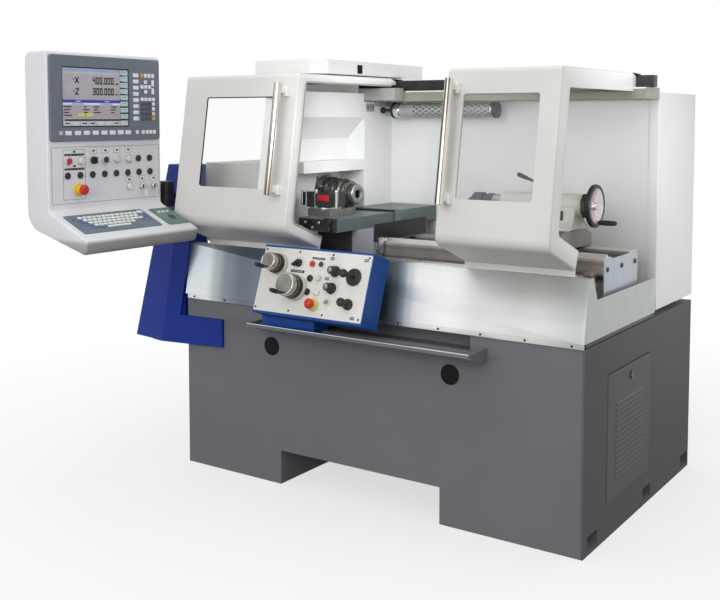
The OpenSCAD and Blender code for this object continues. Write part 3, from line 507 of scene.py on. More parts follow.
def set_light():
    """White surround for what the camera and mirrors see, a little weaker as light, and soft lamps."""
    world = bpy.data.worlds.new("studio")
    scene.world = world
    world.use_nodes = True
    w = world.node_tree
    w.nodes.clear()
    power = add(w, "MapRange", {"To Min": SKY_LIGHT, "To Max": 1.0}, {"Value": seen(w)[1]}).outputs[0]
    sky = add(w, "Background", {"Color": (1, 1, 1, 1)}, {"Strength": power}).outputs[0]
    add(w, "OutputWorld", None, {"Surface": sky})
    for name, place, target, size, watts, spread in LAMPS:
        data = bpy.data.lights.new(name, "AREA")
        data.shape = "DISK"
        data.size = size
        data.energy = watts
        data.spread = math.radians(spread)
        lamp = bpy.data.objects.new(name, data)
        aim = unit(np.subtract(target, place))
        lamp.location = place
        lamp.visible_camera = False
        lamp.rotation_euler = (math.acos(-aim[2]), 0.0, math.atan2(-aim[0], aim[1]))
        scene.collection.objects.link(lamp)
    scene.view_settings.view_transform = "Standard"


set_camera()
set_floor()
set_light()


# The carried-over solids get their finish and eased edges

def dress(material, edge, *names):
    """Give CAD solids a finish and an edge easing in millimetres, by modifiers that weld and bevel their faces."""
    for name in names:
        solid = nodes[name]
        solid.data.materials.clear()
        solid.data.materials.append(material)
        weld = solid.modifiers.new("weld", "WELD")
        weld.merge_threshold = 2e-6
        if edge:
            round_edges(solid, edge)


dress(base_coat, 1, "front_trough")
dress(hatch_coat, 1, "service_door")
dress(black_rubber, 1, "hole_plugs", "drive_belt")
dress(stainless, 1.5, "chip_tray")
dress(bed_steel, 1, "bed")
dress(head_coat, 3, "headstock")
dress(saddle_coat, 3, "saddle")
dress(cabinet_coat, 3, "belt_cover")
dress(wall_coat, 3, "chuck_wall")
dress(beam_coat, 2, "rail_beam")
dress(black_steel, 2, "door_rail", "swivel_joint")
dress(dark_steel, 1, "motor", "toolpost", "service_latch")
dress(turned_steel, 1, "spindle_bearings", "spindle", "motor_pulley", "z_screw", "quill")
dress(boom_coat, 4, "boom")
dress(slide_coat, 2, "cross_slide", "slide_cover")
dress(box_coat, 4, "control_box")
dress(pane_clear, 0, "left_window", "right_window")


# Base cabinet, rear cabinet and the trim of the frame

BEHIND = 600
SEAM_FLOOR = 582
BED_END = 880
WALL_FRONT = 121
COLUMN_SIDE = -316


def seams(xs, zs):
    """Grooves 4 wide in the back: upright ones at each X, level ones at the lower and the upper Z."""
    upright = [((x - 2, SEAM_FLOOR, zs[0] - 2), (x + 2, BEHIND, zs[1] + 2)) for x in xs]
    return upright + [((xs[0] - 2, SEAM_FLOOR, z - 2), (xs[-1] + 2, BEHIND, z + 2)) for z in zs]


def base():
    """Seamless cabinet with its floor notch, trough recess, service bay and jacking pockets cut from one block, and
    seams of the rear panels."""
    gaps = [((-395, -600, -9), (348, -26, 139)), ((-451, -600, 660), (471, -500, 730)),
            ((646, -375, 131), (930, 67, 595))]
    gaps += [((846, y - 44, 15), (930, y + 44, 66)) for y in (-500, 56, 526)]
    block = cut_block((-906, -586, 0), (906, 586, 720), gaps + seams((-760, 0, 760), (60, 660)))
    put("base_shell", "frame", base_coat, [block], ("base_frame", "end_foot"), ease=2)


def cabinet():
    """Rear cabinet: block with the drive bay, two panels set off by seams, latch pockets and louvres, with its feet
    and hood."""
    latches = [(x, z) for x in (-20, 60) for z in (915, 1415)]
    gaps = [((-900, 200, 1040), (-500, 460, 1300))] + seams((-846, 20, 882), (772, 1566))
    gaps += [((x - 16, 576, z - 16), (x + 16, BEHIND, z + 16)) for x, z in latches]
    gaps += [((560, 572, z), (800, BEHIND, z + 10)) for z in range(850, 1010, 26)]
    hood = eased([(-600, -491), (-314, -491), (-260, -437), (-260, 301), (-600, 301)], 5, 3)
    shapes = [cut_block((-870, WALL_FRONT, 746), (906, 586, 1592), gaps), bar(hood, 1672, 1730, 3),
              pad(340, 180, 1590, 1673, 4, 0.5, (-430, 211))]
    shapes += [pad(60, 60, 720.2, 748, 2, 0.5, (x + 30, y + 30)) for x in (-830, 0, 806) for y in (141, 506)]
    put("cabinet_shell", "frame", cabinet_coat, shapes, ("rear_cabinet",), ease=1.5)
    lock = lathed([(0, 0), (12, 0), (12, 5), (4, 8), (0, 8)], [0, 0, 2, 1, 0], 3, 28)
    put("rear_latches", "frame", black_steel, [lay(lock, (x, 576, z), X, -Z, Y) for x, z in latches])


def trim():
    """Polished rods on the trough's lip and end tops, standing in for their highlights; the stainless seat strip under
    the tray with black screw heads, and a black bar of painted shade in the gap at its right end; socket on the hood,
    brackets at the beam and a bright strip of painted highlight along its fold; end plate of the bed and the folded
    border of the rear wall."""
    # Polished rods along the lip and the end tops: painted highlights of the rolled edges
    lip = [tube([(x, -723, 682) for x in (-455, 0, 539)], 2.6, 10)]
    lip += [tube([(x, -590, 632), (x, -720, 667), (x, -722.5, 681)], 2.2, 10, X) for x in (-454, 538)]
    put("trough_lip_highlight", "frame", chrome, lip)
    put("tray_strip", "frame", stainless, [along_x(bar(outline(8, 18, 1) + (-590, 730), -898, 902, 0.8))])
    channel = [forward(head(4.5, 0, 2, 3, 1, 20), (x, -594, 730)) for x in np.linspace(-860, 860, 11)]
    # Black bar along the tray's right end: painted shade in the gap under the tray
    channel.append(along_x(bar(outline(686, 18, 1) + (-227, 730), 884, 900, 0.8)))
    put("tray_screws_and_gap_shade", "frame", black_steel, channel)
    socket = along_x(pad(34, 36, 0, 3, 2, 1), (-259.9, -215, 1697))
    put("hood_socket", "frame", black_rubber, [socket])
    box = [lay(pad(190, 76, 1568, 1621, 4, 2), (-255, -62, 0)),
           along_x(pad(100, 19, 0.2, 14, 2, 1), (COLUMN_SIDE, 35, 1554)),
           along_x(pad(60, 34, 0.2, 3, 2, 0.6), (COLUMN_SIDE, -54, 1539))]
    put("beam_bracket", "frame", bracket_coat, box)
    # Thin brighter white bar along the beam: painted highlight on its fold
    put("beam_fold_highlight", "frame", bright_coat, [along_x(bar(outline(3, 5, 1) + (-21.7, 1606), -150, 900, 0.5))])
    screws = [along_x(head(4.5, 3, 5.5, 6, 1, 20), (COLUMN_SIDE, y, 1539)) for y in (-74, -34)]
    screws += [along_x(head(9, 4, 8, 9, 2, 24), (BED_END, y, z)) for y in (-340, -200, -60) for z in (800, 960)]
    put("plate_screws", "frame", black_steel, screws)
    put("bed_end_plate", "frame", bed_plate, [along_x(pad(338, 234, 0.2, 4, 3, 1), (BED_END, -200, 878))])
    border = [forward(pad(37, 842, 0.1, 3, 2, 1), (886.5, WALL_FRONT, 1169)),
              forward(pad(350, 58, 0.1, 3, 2, 1), (730, WALL_FRONT, 777))]
    put("wall_border", "frame", cabinet_coat, border)
    put("wall_top", "frame", wall_coat, [forward(pad(512, 78, 0, 3, 2, 1), (-602, -97, 1605))])


base()
cabinet()
trim()


# Doors: one folded sheet each, with turned-in ends and a framed window

ROOF = 1664.0
SHEET = 5
ROLL = 8
WINDOW_TOP, WINDOW_LOW = 1577, 1220
BEND_STEPS = 6
BENDS = np.array([(-678, ROOF), (-774, 1066), (-555, 980)], float)
LEAN = unit(BENDS[1] - BENDS[0])
SILL = unit(BENDS[2] - BENDS[1])
LEAN_IN = np.array([-LEAN[1], LEAN[0]])
SILL_IN = np.array([-SILL[1], SILL[0]])
OUT = np.array([0, -LEAN_IN[0], -LEAN_IN[1]])
DOWN = np.array([0, LEAN[0], LEAN[1]])


def meet(p, d, q, e):
    """Point where the line through p along d crosses the line through q along e."""
    p, d, q, e = (np.asarray(v, float) for v in (p, d, q, e))
    g = q - p
    return p + d * (g[0] * e[1] - g[1] * e[0]) / (d[0] * e[1] - d[1] * e[0])


def fold_line(depth):
    """Door section at a depth inside the skin: roof, leaning front, sill and lip moved inward, less at the roof of the
    narrow and the widest flange, with eased bends."""
    roof = ROOF - (depth if depth < 9 else 10 if depth > 90 else depth if depth > 60 else 0.72 * depth)
    b = meet((0, roof), (1, 0), BENDS[0] + LEAN_IN * depth, LEAN)
    c = meet(BENDS[0] + LEAN_IN * depth, LEAN, BENDS[1] + SILL_IN * depth, SILL)
    d = BENDS[2] + SILL_IN * depth
    e = d + SILL * 0.01 if depth > 6 else np.array([-555 + depth, 958.0])
    reach = [0, 16 - 0.12 * depth, 34 - 0.25 * depth, 4, 0]
    return eased([(-30, roof), b, c, d, e], np.maximum(reach, 0.3), BEND_STEPS, closed=False)


def carried(loop):
    """Closed loop of X places and depths carried along the door section, one ring for each section point."""
    return np.stack([np.column_stack([np.full(len(fold_line(d)), x), fold_line(d)]) for x, d in loop], 1)


def on_front(ring, depth):
    """Flat ring of X and distance down the leaning front, set at a depth inside the skin."""
    yz = BENDS[0] + LEAN_IN * depth + LEAN * ring[:, 1:2]
    return np.column_stack([ring[:, 0], yz])


def door(name, body, x0, width, win, flanges, node, gasket):
    """Sheet 5 thick: a C-shaped loop carried along the folds, with the window left out of both front faces, a reveal
    round the window and the flat roof end with its rear fold; a brighter white strip on the right flange, painted
    light, and a gasket go with it."""
    x1 = x0 + width
    loop = [(x0, flanges[0])]
    loop += list(zip(x0 + ROLL - ROLL * np.cos(QUARTER), ROLL - ROLL * np.sin(QUARTER)))
    loop += list(zip(x1 - ROLL + ROLL * np.sin(QUARTER), ROLL - ROLL * np.cos(QUARTER)))
    loop += [(x1, flanges[1]), (x1 - SHEET, flanges[1]), (x1 - SHEET, SHEET), (x0 + SHEET, SHEET),
             (x0 + SHEET, flanges[0])]
    rings = carried(loop)
    verts, faces = skin(rings)
    row = BEND_STEPS + 1
    outer, inner = 4, 11
    for column in (inner, outer):
        del faces[row * len(loop) + column]
    shapes = [(verts, faces)]
    top, low = ((ROOF - z) / -LEAN[1] for z in (WINDOW_TOP, WINDOW_LOW))
    hole = outline(win[1], low - top, 10) + (win[0] + win[1] / 2, (top + low) / 2)
    edges = []
    for depth, i, j in ((0, outer, outer + 1), (SHEET, inner + 1, inner)):
        xa, xb = rings[row, i, 0], rings[row, j, 0]
        sa, sb = ((rings[r, i, 1:] - BENDS[0] - LEAN_IN * depth) @ LEAN for r in (row, row + 1))
        rim = outline(xb - xa, sb - sa, 0) + ((xa + xb) / 2, (sa + sb) / 2)
        shapes.append(skin([on_front(rim, depth), on_front(hole, depth)], (False, False)))
        edges.append(on_front(hole, depth))
    shapes.append(skin(edges, (False, False)))
    under = fold_line(flanges[1])[0, 1]
    roof = [(-31, ROOF), (64, ROOF), (64, ROOF - 34), (59, ROOF - 34), (59, ROOF - SHEET), (-31, ROOF - SHEET)]
    shapes.append(along_x(bar(eased(roof, [0.1, 3, 0.5, 0.5, 1, 0.1], 3), x0, x1, 0.5)))
    shapes += [lay(pad(80, 32, ROOF - 8.7, ROOF - 1, 2, 1), (x, 30, 0)) for x in (x0 + 70, x1 - 70)]
    gusset = eased([(-31, under), (7, under), (7, ROOF - 4), (-31, ROOF - 4)], [0.1, 9, 1, 0.1], 4)
    shapes.append(along_x(bar(gusset, x1 - SHEET, x1, 0.4)))
    put(name, body, white_coat, shapes, (node,))
    # Brighter white strip over the right flange: painted light on the face that turns to the right
    edge = skin(carried([(x1, 9), (x1 + 0.4, 10), (x1 + 0.4, flanges[1] - 3), (x1, flanges[1] - 2)]))
    put(name + "_edge", body, bright_coat, [edge])
    near, far = win[0] + 1.5, win[0] + win[1] - 2
    run = np.array([(near, low - 6), (near, top + 1.5), (far, top + 1.5)])
    radius, rubber_kind = gasket
    put(name + "_gasket", body, rubber_kind, [tube(on_front(eased(run, 8, 4, closed=False), 2.5), radius, 8, OUT)])


def handle(name, body, x, node):
    """Polished tube with closed ends, parallel to the leaning front, on two painted blocks."""
    foot = np.array([x, -678 + LEAN[0] * (1406 - ROOF) / LEAN[1], 1406.0])
    grip = lathed([(0, -215), (15, -215), (15, 215), (0, 215)], [0, 2, 2, 0], 4, 40)
    put(name, body, tube_metal, [lay(grip, foot + OUT * 60, X, OUT, DOWN)], (node,))
    feet = [lay(block, foot + DOWN * s, X, -DOWN, OUT)
            for block in (pad(30, 40, 0.2, 22, 4, 2), pad(22, 26, 20, 52, 4, 1.5)) for s in (-190, 190)]
    put(name + "_blocks", body, bright_coat, feet)


door("left_door_sheet", "door_left", -807, 587, (-682, 344), (130, 40), "left_door", (2.4, black_rubber))
door("right_door_sheet", "door_right", 428, 424, (497, 283), (40, 70), "right_door", (1.3, seal_rubber))
put("left_door_seal", "door_left", seal_rubber,
    [skin(carried([(-224.5, 38), (-219.6, 40), (-219.6, 49), (-224.5, 50)]))])
stile = outline(46, 362, 3) + (-361, 268)
put("left_door_stile", "door_left", bright_coat, [skin([on_front(stile, 13), on_front(stile, 16)])])
handle("left_handle_tube", "door_left", -272, "left_handle")
handle("right_handle_tube", "door_right", 470, "right_handle")


# Tube lamp under the beam

LAMP_AT = (-248, 40, 1527)


def lamp():
    """Clear tube with a pierced bright sleeve inside, chrome end rings, dark caps and a stem to the wall."""
    glass = lathed([(30, 36), (31, 36), (31, 489), (30, 489)], 0.3, 2, 48)
    sleeve = turned([(28, 34), (28, 491)], 48)
    rings = [lathed([(28, 8), (33, 8), (33, 36), (31, 40), (28, 40)], [0, 2, 3, 1, 0], 4, 48),
             lathed([(27, 482), (35, 482), (35, 490), (27, 490)], [0, 2, 2, 0], 4, 48)]
    caps = [lathed([(0, -8), (12, -8), (36, -2), (36, 8), (29, 9), (0, 9)], [0, 1, 3, 2, 1, 0], 3, 48),
            lathed([(0, 489), (33, 489), (33, 508), (12, 515), (0, 515)], [0, 1, 4, 2, 0], 3, 48),
            turned([(6, -52), (6, -6)], 20),
            lathed([(0, -68), (13, -68), (15, -60), (11, -50), (0, -48)], [0, 3, 5, 4, 0], 4, 32)]
    put("lamp_tube", "frame", lamp_glass, [along_x(glass, LAMP_AT)])
    put("lamp_sleeve", "frame", pierced_sleeve(), [along_x(sleeve, LAMP_AT)])
    put("lamp_rings", "frame", chrome, [along_x(s, LAMP_AT) for s in rings], ("work_lamp",))
    put("lamp_caps", "frame", black_plastic, [along_x(s, LAMP_AT) for s in caps])


def pierced_sleeve():
    """Bright sheet with rows of dark holes, 9 waves round the tube and one every 31 mm along it, from the angle and X;
    its left end stays plain."""
    mat, t = new_tree("pierced_bright_sheet")
    at = add(t, "SeparateXYZ", None, {0: add(t, "TexCoord").outputs["Object"]}).outputs
    y, z = (calc(t, "SUBTRACT", at[axis], LAMP_AT[k] * MM) for k, axis in ((1, "Y"), (2, "Z")))
    round_wave = calc(t, "SINE", calc(t, "MULTIPLY", calc(t, "ARCTAN2", z, y), 9.0))
    long_wave = calc(t, "SINE", calc(t, "MULTIPLY", at["X"], 200.0))
    inside = calc(t, "GREATER_THAN", at["X"], -0.14)
    hole = calc(t, "MULTIPLY", calc(t, "MULTIPLY", round_wave, long_wave), inside)
    colour = ramp(t, hole, ((0.12, "#A3A198"), (0.3, "#24272A")))
    shader = add(t, "BsdfPrincipled", {"Metallic": 0.35, "Roughness": 0.36}, {"Base Color": colour})
    add(t, "OutputMaterial", None, {"Surface": shader.outputs[0]})
    return mat


lamp()


# Spindle nose, live centre, tailstock and levers

AXIS = (0, -200, 1170)
POST_AT = (-282, -425)
CLAMP_AT = (545, -200)


def spoke(a):
    """Directions away from the axis and round it at an angle about X."""
    return (0, math.cos(a), math.sin(a)), (0, -math.sin(a), math.cos(a))


def spindle_nose():
    """Stepped brown collet body with grooves and a bright front ring with three slits round the dark bore."""
    steps = [(27, -425), (70, -425), (70, -404), (66, -402), (66, -399), (64, -397), (64, -372), (61, -370),
             (61, -364), (64, -362), (64, -344), (56, -340), (56, -324), (53, -322), (53, -318), (56, -316),
             (56, -314), (44, -313.5), (43.5, -300), (27, -300)]
    put("collet_body", "spindle_group", collet_steel, [along_x(lathed(steps, 1.2, 2, 72), AXIS)], ("collet_nose",))
    face = [(18.6, -304), (43.5, -304), (43.5, -284), (40, -279.2), (31, -279), (30, -280), (20, -280), (18.6, -281.5),
            (18.6, -304)]
    put("collet_ring", "spindle_group", turned_steel, [along_x(lathed(face, 1.0, 3, 64), AXIS)])
    mouth = [along_x(turned([(18.5, -300), (18.4, -288), (18.3, -360)], 48), AXIS)]
    slit = pad(15, 1.6, -283, -278.8, 0.4, 0.2, (30, 0))
    mouth += [lay(slit, AXIS, *spoke(a), X) for a in np.radians([30, 150, 270])]
    put("collet_bore", "spindle_group", black_steel, mouth)


def tail_parts():
    """Live centre with its point, collars and groove; handwheel with a black rim, dished face and revolving handle;
    slim barrel on its stand and foot, with an end flange and bolts."""
    point = [(0, 250), (3, 252), (14, 263), (14, 268), (33, 284), (33, 324), (30, 326), (25, 326), (25, 342), (31, 344),
             (31, 365.5), (12, 366), (12, 418), (0, 418)]
    put("live_center_body", "tail_center", dark_steel, [along_x(lathed(point, 0.8, 2, 56), AXIS)], ("live_center",))
    rim = hoop([(66, 770), (80, 770), (80, 788), (66, 788)], [1, 6, 6, 1], 5, 72)
    grip = lathed([(4, 790), (9, 796), (10, 830), (8, 862), (0, 864)], [0, 3, 8, 4, 0], 4, 28)
    knob_at = np.add(AXIS, (0, 0, -60))
    put("tail_wheel_rim", "tail_wheel", black_plastic, [along_x(rim, AXIS), along_x(grip, knob_at)],
        ("tail_handwheel",))
    dish = [(0, 762), (24, 762), (26, 768), (60, 771), (68, 772), (68, 787), (64, 786), (44, 779), (17, 774), (15, 777),
            (13, 784), (9, 786), (0, 786)]
    hub = [along_x(lathed(dish, 2, 3, 64), AXIS), along_x(turned([(12, 710), (12, 764)], 32), AXIS),
           along_x(turned([(5, 780), (5, 792), (0, 792)], 20), knob_at)]
    put("tail_wheel_dish", "tail_wheel", rosy_alu, hub)
    barrel = lathed([(29, 410), (42, 410), (42, 739), (13, 739)], [0, 2, 1, 0], 3, 56)
    stand = eased([(-240, 1165), (-160, 1165), (-148, 1105), (-112, 1079), (-288, 1079), (-252, 1105)],
                  [1, 1, 20, 4, 4, 20], 5)
    post = lathed([(9, 1205), (15, 1205), (15, 1241.8), (9, 1241.8)], [0, 0, 2, 0], 3, 32)
    put("tail_body", "tail", cream_coat,
        [along_x(barrel, AXIS), along_x(bar(stand, 424, 716, 3)), lay(post, (*CLAMP_AT, 0))], ("tailstock",))
    foot = eased([(-372, 1000.4), (-351, 1000.4), (-334, 1015), (-317, 1000.4), (-28, 1000.4), (-28, 1050),
                  (-110, 1080), (-290, 1080), (-372, 1050)], 1, 2)
    put("tail_foot", "tail", brown_steel, [along_x(bar(foot, 430, 700, 1.5))])
    flange = turned([(20, 755.5), (47.5, 755.5), (47.5, 738.6), (41, 738.6)], 8)
    cover = [lay(flange, AXIS, *spoke(math.radians(22.5)), X), forward(pad(70, 50, 0, 2, 4, 0.8), (640, -249, 1126))]
    put("tail_flange", "tail", dark_steel, cover)
    neck = lathed([(20, 755.4), (29, 755.4), (29, 759), (25, 761.5), (20, 761.5)], [0, 0.4, 1, 1, 0], 2, 40)
    bolts = [along_x(neck, AXIS)]
    bolts += [along_x(head(5, 755.4, 759, 759.5, 1.5, 20), np.add(AXIS, (0, 37 * math.cos(a), 37 * math.sin(a))))
              for a in np.radians([45, 135, 225, 315])]
    bolts.append(forward(head(12, 0.2, 10, 10.5, 2, 28, 0.3), (640, -251, 1120)))
    put("tail_bolts", "tail", turned_steel, bolts)


def levers():
    """Black levers: a round foot, a bent stalk and a long grip."""
    o = (*POST_AT, 1195.3)
    foot = lathed([(12, -15), (12, 0.3), (24, 0.3), (24, 14), (20, 18), (0, 18)], [0, 0, 0.5, 3, 3, 0], 4, 40)
    stalk = eased([(0, 0, 9), (-44, 0, 9), (-44, 0, 62)], 9, 6, closed=False)
    thick = np.interp(np.arange(len(stalk)), [0, len(stalk) - 2, len(stalk) - 1], [6, 7, 4])
    put("toolpost_lever_arm", "post_handle", black_plastic, [lay(foot, o), lay(tube(stalk, thick, 14, Y), o)],
        ("toolpost_lever",))
    o = (*CLAMP_AT, 1242.0)
    foot = lathed([(8, -12), (8, 0.3), (14, 0.3), (14, 15), (10, 19), (0, 19)], [0, 0, 0.5, 3, 3, 0], 4, 32)
    d = np.array([-math.sin(math.radians(70)), 0, math.cos(math.radians(70))])
    path = d * np.array([0, 12, 34, 46, 76, 84, 86])[:, None] + (0, 0, 8)
    arm = tube(path, np.array([6, 5, 5.5, 8, 9, 7, 3]), 14, Y)
    put("clamp_lever_arm", "tail_clamp", black_plastic, [lay(foot, o), lay(arm, o)], ("clamp_lever",))


spindle_nose()
tail_parts()
levers()


# Console: silver case with screen, keys, buttons and keyboard

FACE_X = -826
LEDGE_TOP = 1152.0
LEDGE = math.radians(24.27)
LEDGE_X = np.array([math.cos(LEDGE), 0, -math.sin(LEDGE)])
LEDGE_Z = np.array([math.sin(LEDGE), 0, math.cos(LEDGE)])
KEY_WHITE, KEY_PALE, KEY_AMBER, KEY_SAND, KEY_DARK = "#EEF1F5", "#F2F5F1", "#E9A52A", "#EBD9C6", "#4A525B"
INK, GREY_INK, PAGE, BAR_DARK = "#17171B", "#4E4A52", "#B9B4BA", "#26262B"


def on_console(shape, y, z, code=None):
    """Shape set on the console's upright face at Y and Z of the machine, in a colour of its own if one is given."""
    return lay(shape, (FACE_X, y, z), Y, Z, X, code)


def on_ledge(shape, y, along, code=None):
    """Shape set on the sloping ledge: local X runs across it along Y, local Y up the slope."""
    return lay(shape, np.array([FACE_X, y, LEDGE_TOP]) + LEDGE_X * along, Y, -LEDGE_X, LEDGE_Z, code)


def console_case():
    """Side outline with a rounded back carried across the width, drawn in at both ends, with the swivel neck."""
    side = [(-948, 1736), (FACE_X, 1736), (FACE_X, LEDGE_TOP), (-622, 1060), (-636, 1007), (-916, 1086), (-948, 1128)]
    ring = eased(side, [34, 14, 14, 12, 14, 60, 60], 6)
    shell = lay(bar(ring, -1378, -816, 8), (0, 0, 0), X, Z, Y)
    put("console_shell", "console", console_coat, [shell], ("console_case",))
    neck = lathed([(0, 1178), (36, 1178), (36, 1231), (0, 1231)], [0, 3, 3, 0], 3, 48)
    arm = lay(pad(50, 46, -818, -722, 6, 1), (-905, 0, 1201), X, Z, Y)
    put("console_neck", "console", black_steel, [lay(neck, (-905, -715, 0)), arm])
    shoe = lay(pad(70, 120, 0, 14, 6, 3), (-760, -1130, 1040.5), unit((280, 0, -79)), -Y, -unit((79, 0, 280)))
    put("console_shoe", "console", black_steel, [shoe])


def screen_bezel():
    """Slate frame with a stepped rim round the sunk picture."""
    rim = outline(544, 316, 12)
    hole = outline(327, 223, 6) + (-54.5, 5)
    rings = [level(rim, 0.2), level(rim, 6), level(inset(rim, 2), 8), level(hole, 8), level(hole, 4.5)]
    put("screen_bezel", "console", slate_plastic, [on_console(skin(rings), -1098, 1566)], ("screen_unit",))


def screen_picture():
    """Thin patches on a light page in a dark frame: blue bars, fields, and readout digits of plain strokes."""
    w, h = 317, 213
    marks = []

    def patch(shape, code, o=(0, 0, 0), ex=X, ey=Y):
        """Patch of one colour, laid in the middle of the picture."""
        marks.append(on_console(lay(shape, o, ex, ey), -1152.5, 1571, code))

    def mark(u0, u1, v0, v1, code, lift=0.0):
        """Patch given by shares of the page's width from the left and height from the top."""
        at = (((u0 + u1) / 2 - 0.5) * w, (0.5 - (v0 + v1) / 2) * h)
        patch(pad((u1 - u0) * w, (v1 - v0) * h, 5.1 + lift, 5.25 + lift, 0.3, 0.05, at), code)

    def stroke(u0, v0, u1, v1, wide=5.2):
        """Slanting bar between two places given by shares of the page."""
        a, b = (np.array([(u - 0.5) * w, (0.5 - v) * h, 0]) for u, v in ((u0, v0), (u1, v1)))
        d = unit(b - a)
        patch(pad(np.linalg.norm(b - a), wide, 5.1, 5.25, 0.3, 0.05), INK, (a + b) / 2, d, np.cross(Z, d))

    patch(pad(327, 223, 4.6, 4.9, 4, 0.1), "#2B2F36")
    patch(pad(w, h, 4.9, 5.1, 2, 0.1), PAGE)
    mark(0, 1, 0, 0.055, "#9DBBE0")
    mark(0, 0.875, 0.055, 0.10, "#C9C4C8")
    for ends in ((0.185, 0.15, 0.24, 0.26), (0.24, 0.15, 0.185, 0.26), (0.19, 0.355, 0.24, 0.355),
                 (0.24, 0.355, 0.19, 0.45), (0.185, 0.45, 0.24, 0.45), (0.155, 0.185, 0.168, 0.20),
                 (0.155, 0.385, 0.168, 0.40)):
        stroke(*ends)
    digits(mark, 0.45, 0.145, "400.000")
    digits(mark, 0.45, 0.335, "300.000")
    for v in (0.245, 0.435):
        mark(0.80, 0.85, v, v + 0.022, INK)
    mark(0, 0.875, 0.545, 0.60, "#2A44C4")
    for a, b in ((0.19, 0.26), (0.63, 0.70)):
        mark(a, b, 0.563, 0.582, "#C7CFF2", 0.15)
    mark(0, 0.875, 0.60, 0.635, "#F6F6F8")
    for a, b in ((0.13, 0.31), (0.56, 0.75)):
        mark(a, b, 0.605, 0.63, PAGE, 0.15)
    for i, (a, wide, lines) in enumerate(((0.01, 0.12, 4), (0.30, 0.09, 3), (0.455, 0.11, 3), (0.72, 0.10, 3))):
        for j in range(lines):
            v = 0.05 * j
            mark(a + 0.01 * ((i + j) % 2), a + wide - 0.02 * ((2 * i + j) % 3), 0.655 + v, 0.68 + v, GREY_INK)
    mark(0.22, 0.445, 0.785, 0.835, "#E9E25E", 0.15)
    mark(0.32, 0.345, 0.80, 0.82, GREY_INK, 0.3)
    mark(0.03, 0.885, 0.885, 0.915, BAR_DARK)
    mark(0.875, 1, 0, 0.905, BAR_DARK)
    for i in range(8):
        mark(0.88, 1, 0.005 + 0.1125 * i, 0.088 + 0.1125 * i, "#C6DADF", 0.15)
        mark(0.90, 0.97, 0.028 + 0.1125 * i, 0.042 + 0.1125 * i, "#8E9EA4", 0.3)
        mark(0.012 + 0.124 * i, 0.126 + 0.124 * i, 0.925, 0.998, "#D4E0E2")
        if i in (0, 2, 3, 6):
            mark(0.03 + 0.124 * i, 0.105 + 0.124 * i, 0.945, 0.968, GREY_INK, 0.15)
    put("screen_picture", "console", printed, marks)


# Seven-stroke figures: the strokes of each figure, and each stroke's box as shares of the figure
STROKES = {"4": "bcfg", "3": "abcdg", "0": "abcdef"}
BARS = {"a": (0, 1, 0, 0.2), "b": (0.68, 1, 0, 0.5), "c": (0.68, 1, 0.5, 1), "d": (0, 1, 0.8, 1),
        "e": (0, 0.32, 0.5, 1), "f": (0, 0.32, 0, 0.5), "g": (0, 1, 0.4, 0.6)}


def digits(mark, u, v, text):
    """One readout row of seven-stroke figures from a place on the page."""
    wide, tall = 0.043, 0.125
    for figure in text:
        if figure == ".":
            mark(u, u + 0.011, v + 0.105, v + tall, INK)
            u += 0.018
            continue
        for a, b, c, d in (BARS[s] for s in STROKES[figure]):
            mark(u + wide * a, u + wide * b, v + tall * c, v + tall * d, INK)
        u += 0.053


def screen_keys():
    """Keys with eased edges on the bezel, from rows of Y places, Z places, width, height and colour."""
    rows = (((-1290, -1246, -1203.5, -1161, -1118.5, -1077.5, -1037, -998), (1438,), 28, 16, KEY_WHITE),
            ((-1324,), (1438,), 16, 14, "#C4C7C9"), ((-950, -919, -897, -878, -858), (1438,), 15, 15, KEY_WHITE),
            ((-955,), 1660 - 24.1 * np.arange(8), 28, 15, KEY_WHITE), ((-922,), (1660,), 14, 16, KEY_AMBER),
            ((-903, -884, -864), (1660,), 14, 16, KEY_WHITE), ((-903,), (1635,), 15, 14, KEY_WHITE),
            ((-922, -902, -882), (1616,), 15, 14, KEY_WHITE), ((-902,), (1597,), 15, 14, KEY_WHITE),
            ((-864,), (1632, 1600), 13, 24, KEY_WHITE), ((-922, -902, -881, -861), (1567,), 15, 13, KEY_WHITE),
            ((-920, -900, -880), (1549, 1529.5, 1510, 1491), 15, 14, KEY_DARK),
            ((-862,), (1549, 1529.5), 15, 14, KEY_WHITE), ((-862,), (1510,), 15, 14, KEY_SAND),
            ((-862,), (1491,), 15, 14, KEY_AMBER))
    put("screen_keys", "console", key_plastic, [on_console(pad(w, h, 7.9, 10.5, 2, 0.8), y, z, code)
                                                for ys, zs, w, h, code in rows for z in zs for y in ys])


ROW_HIGH, ROW_MID = 1335, 1281
STOP_YZ = (-1239, 1228)
START_Y, DIAL_Y, LAMP_Y = -1051, -1167, -988
KEY_A_Y, KEY_B_Y = -921, -859


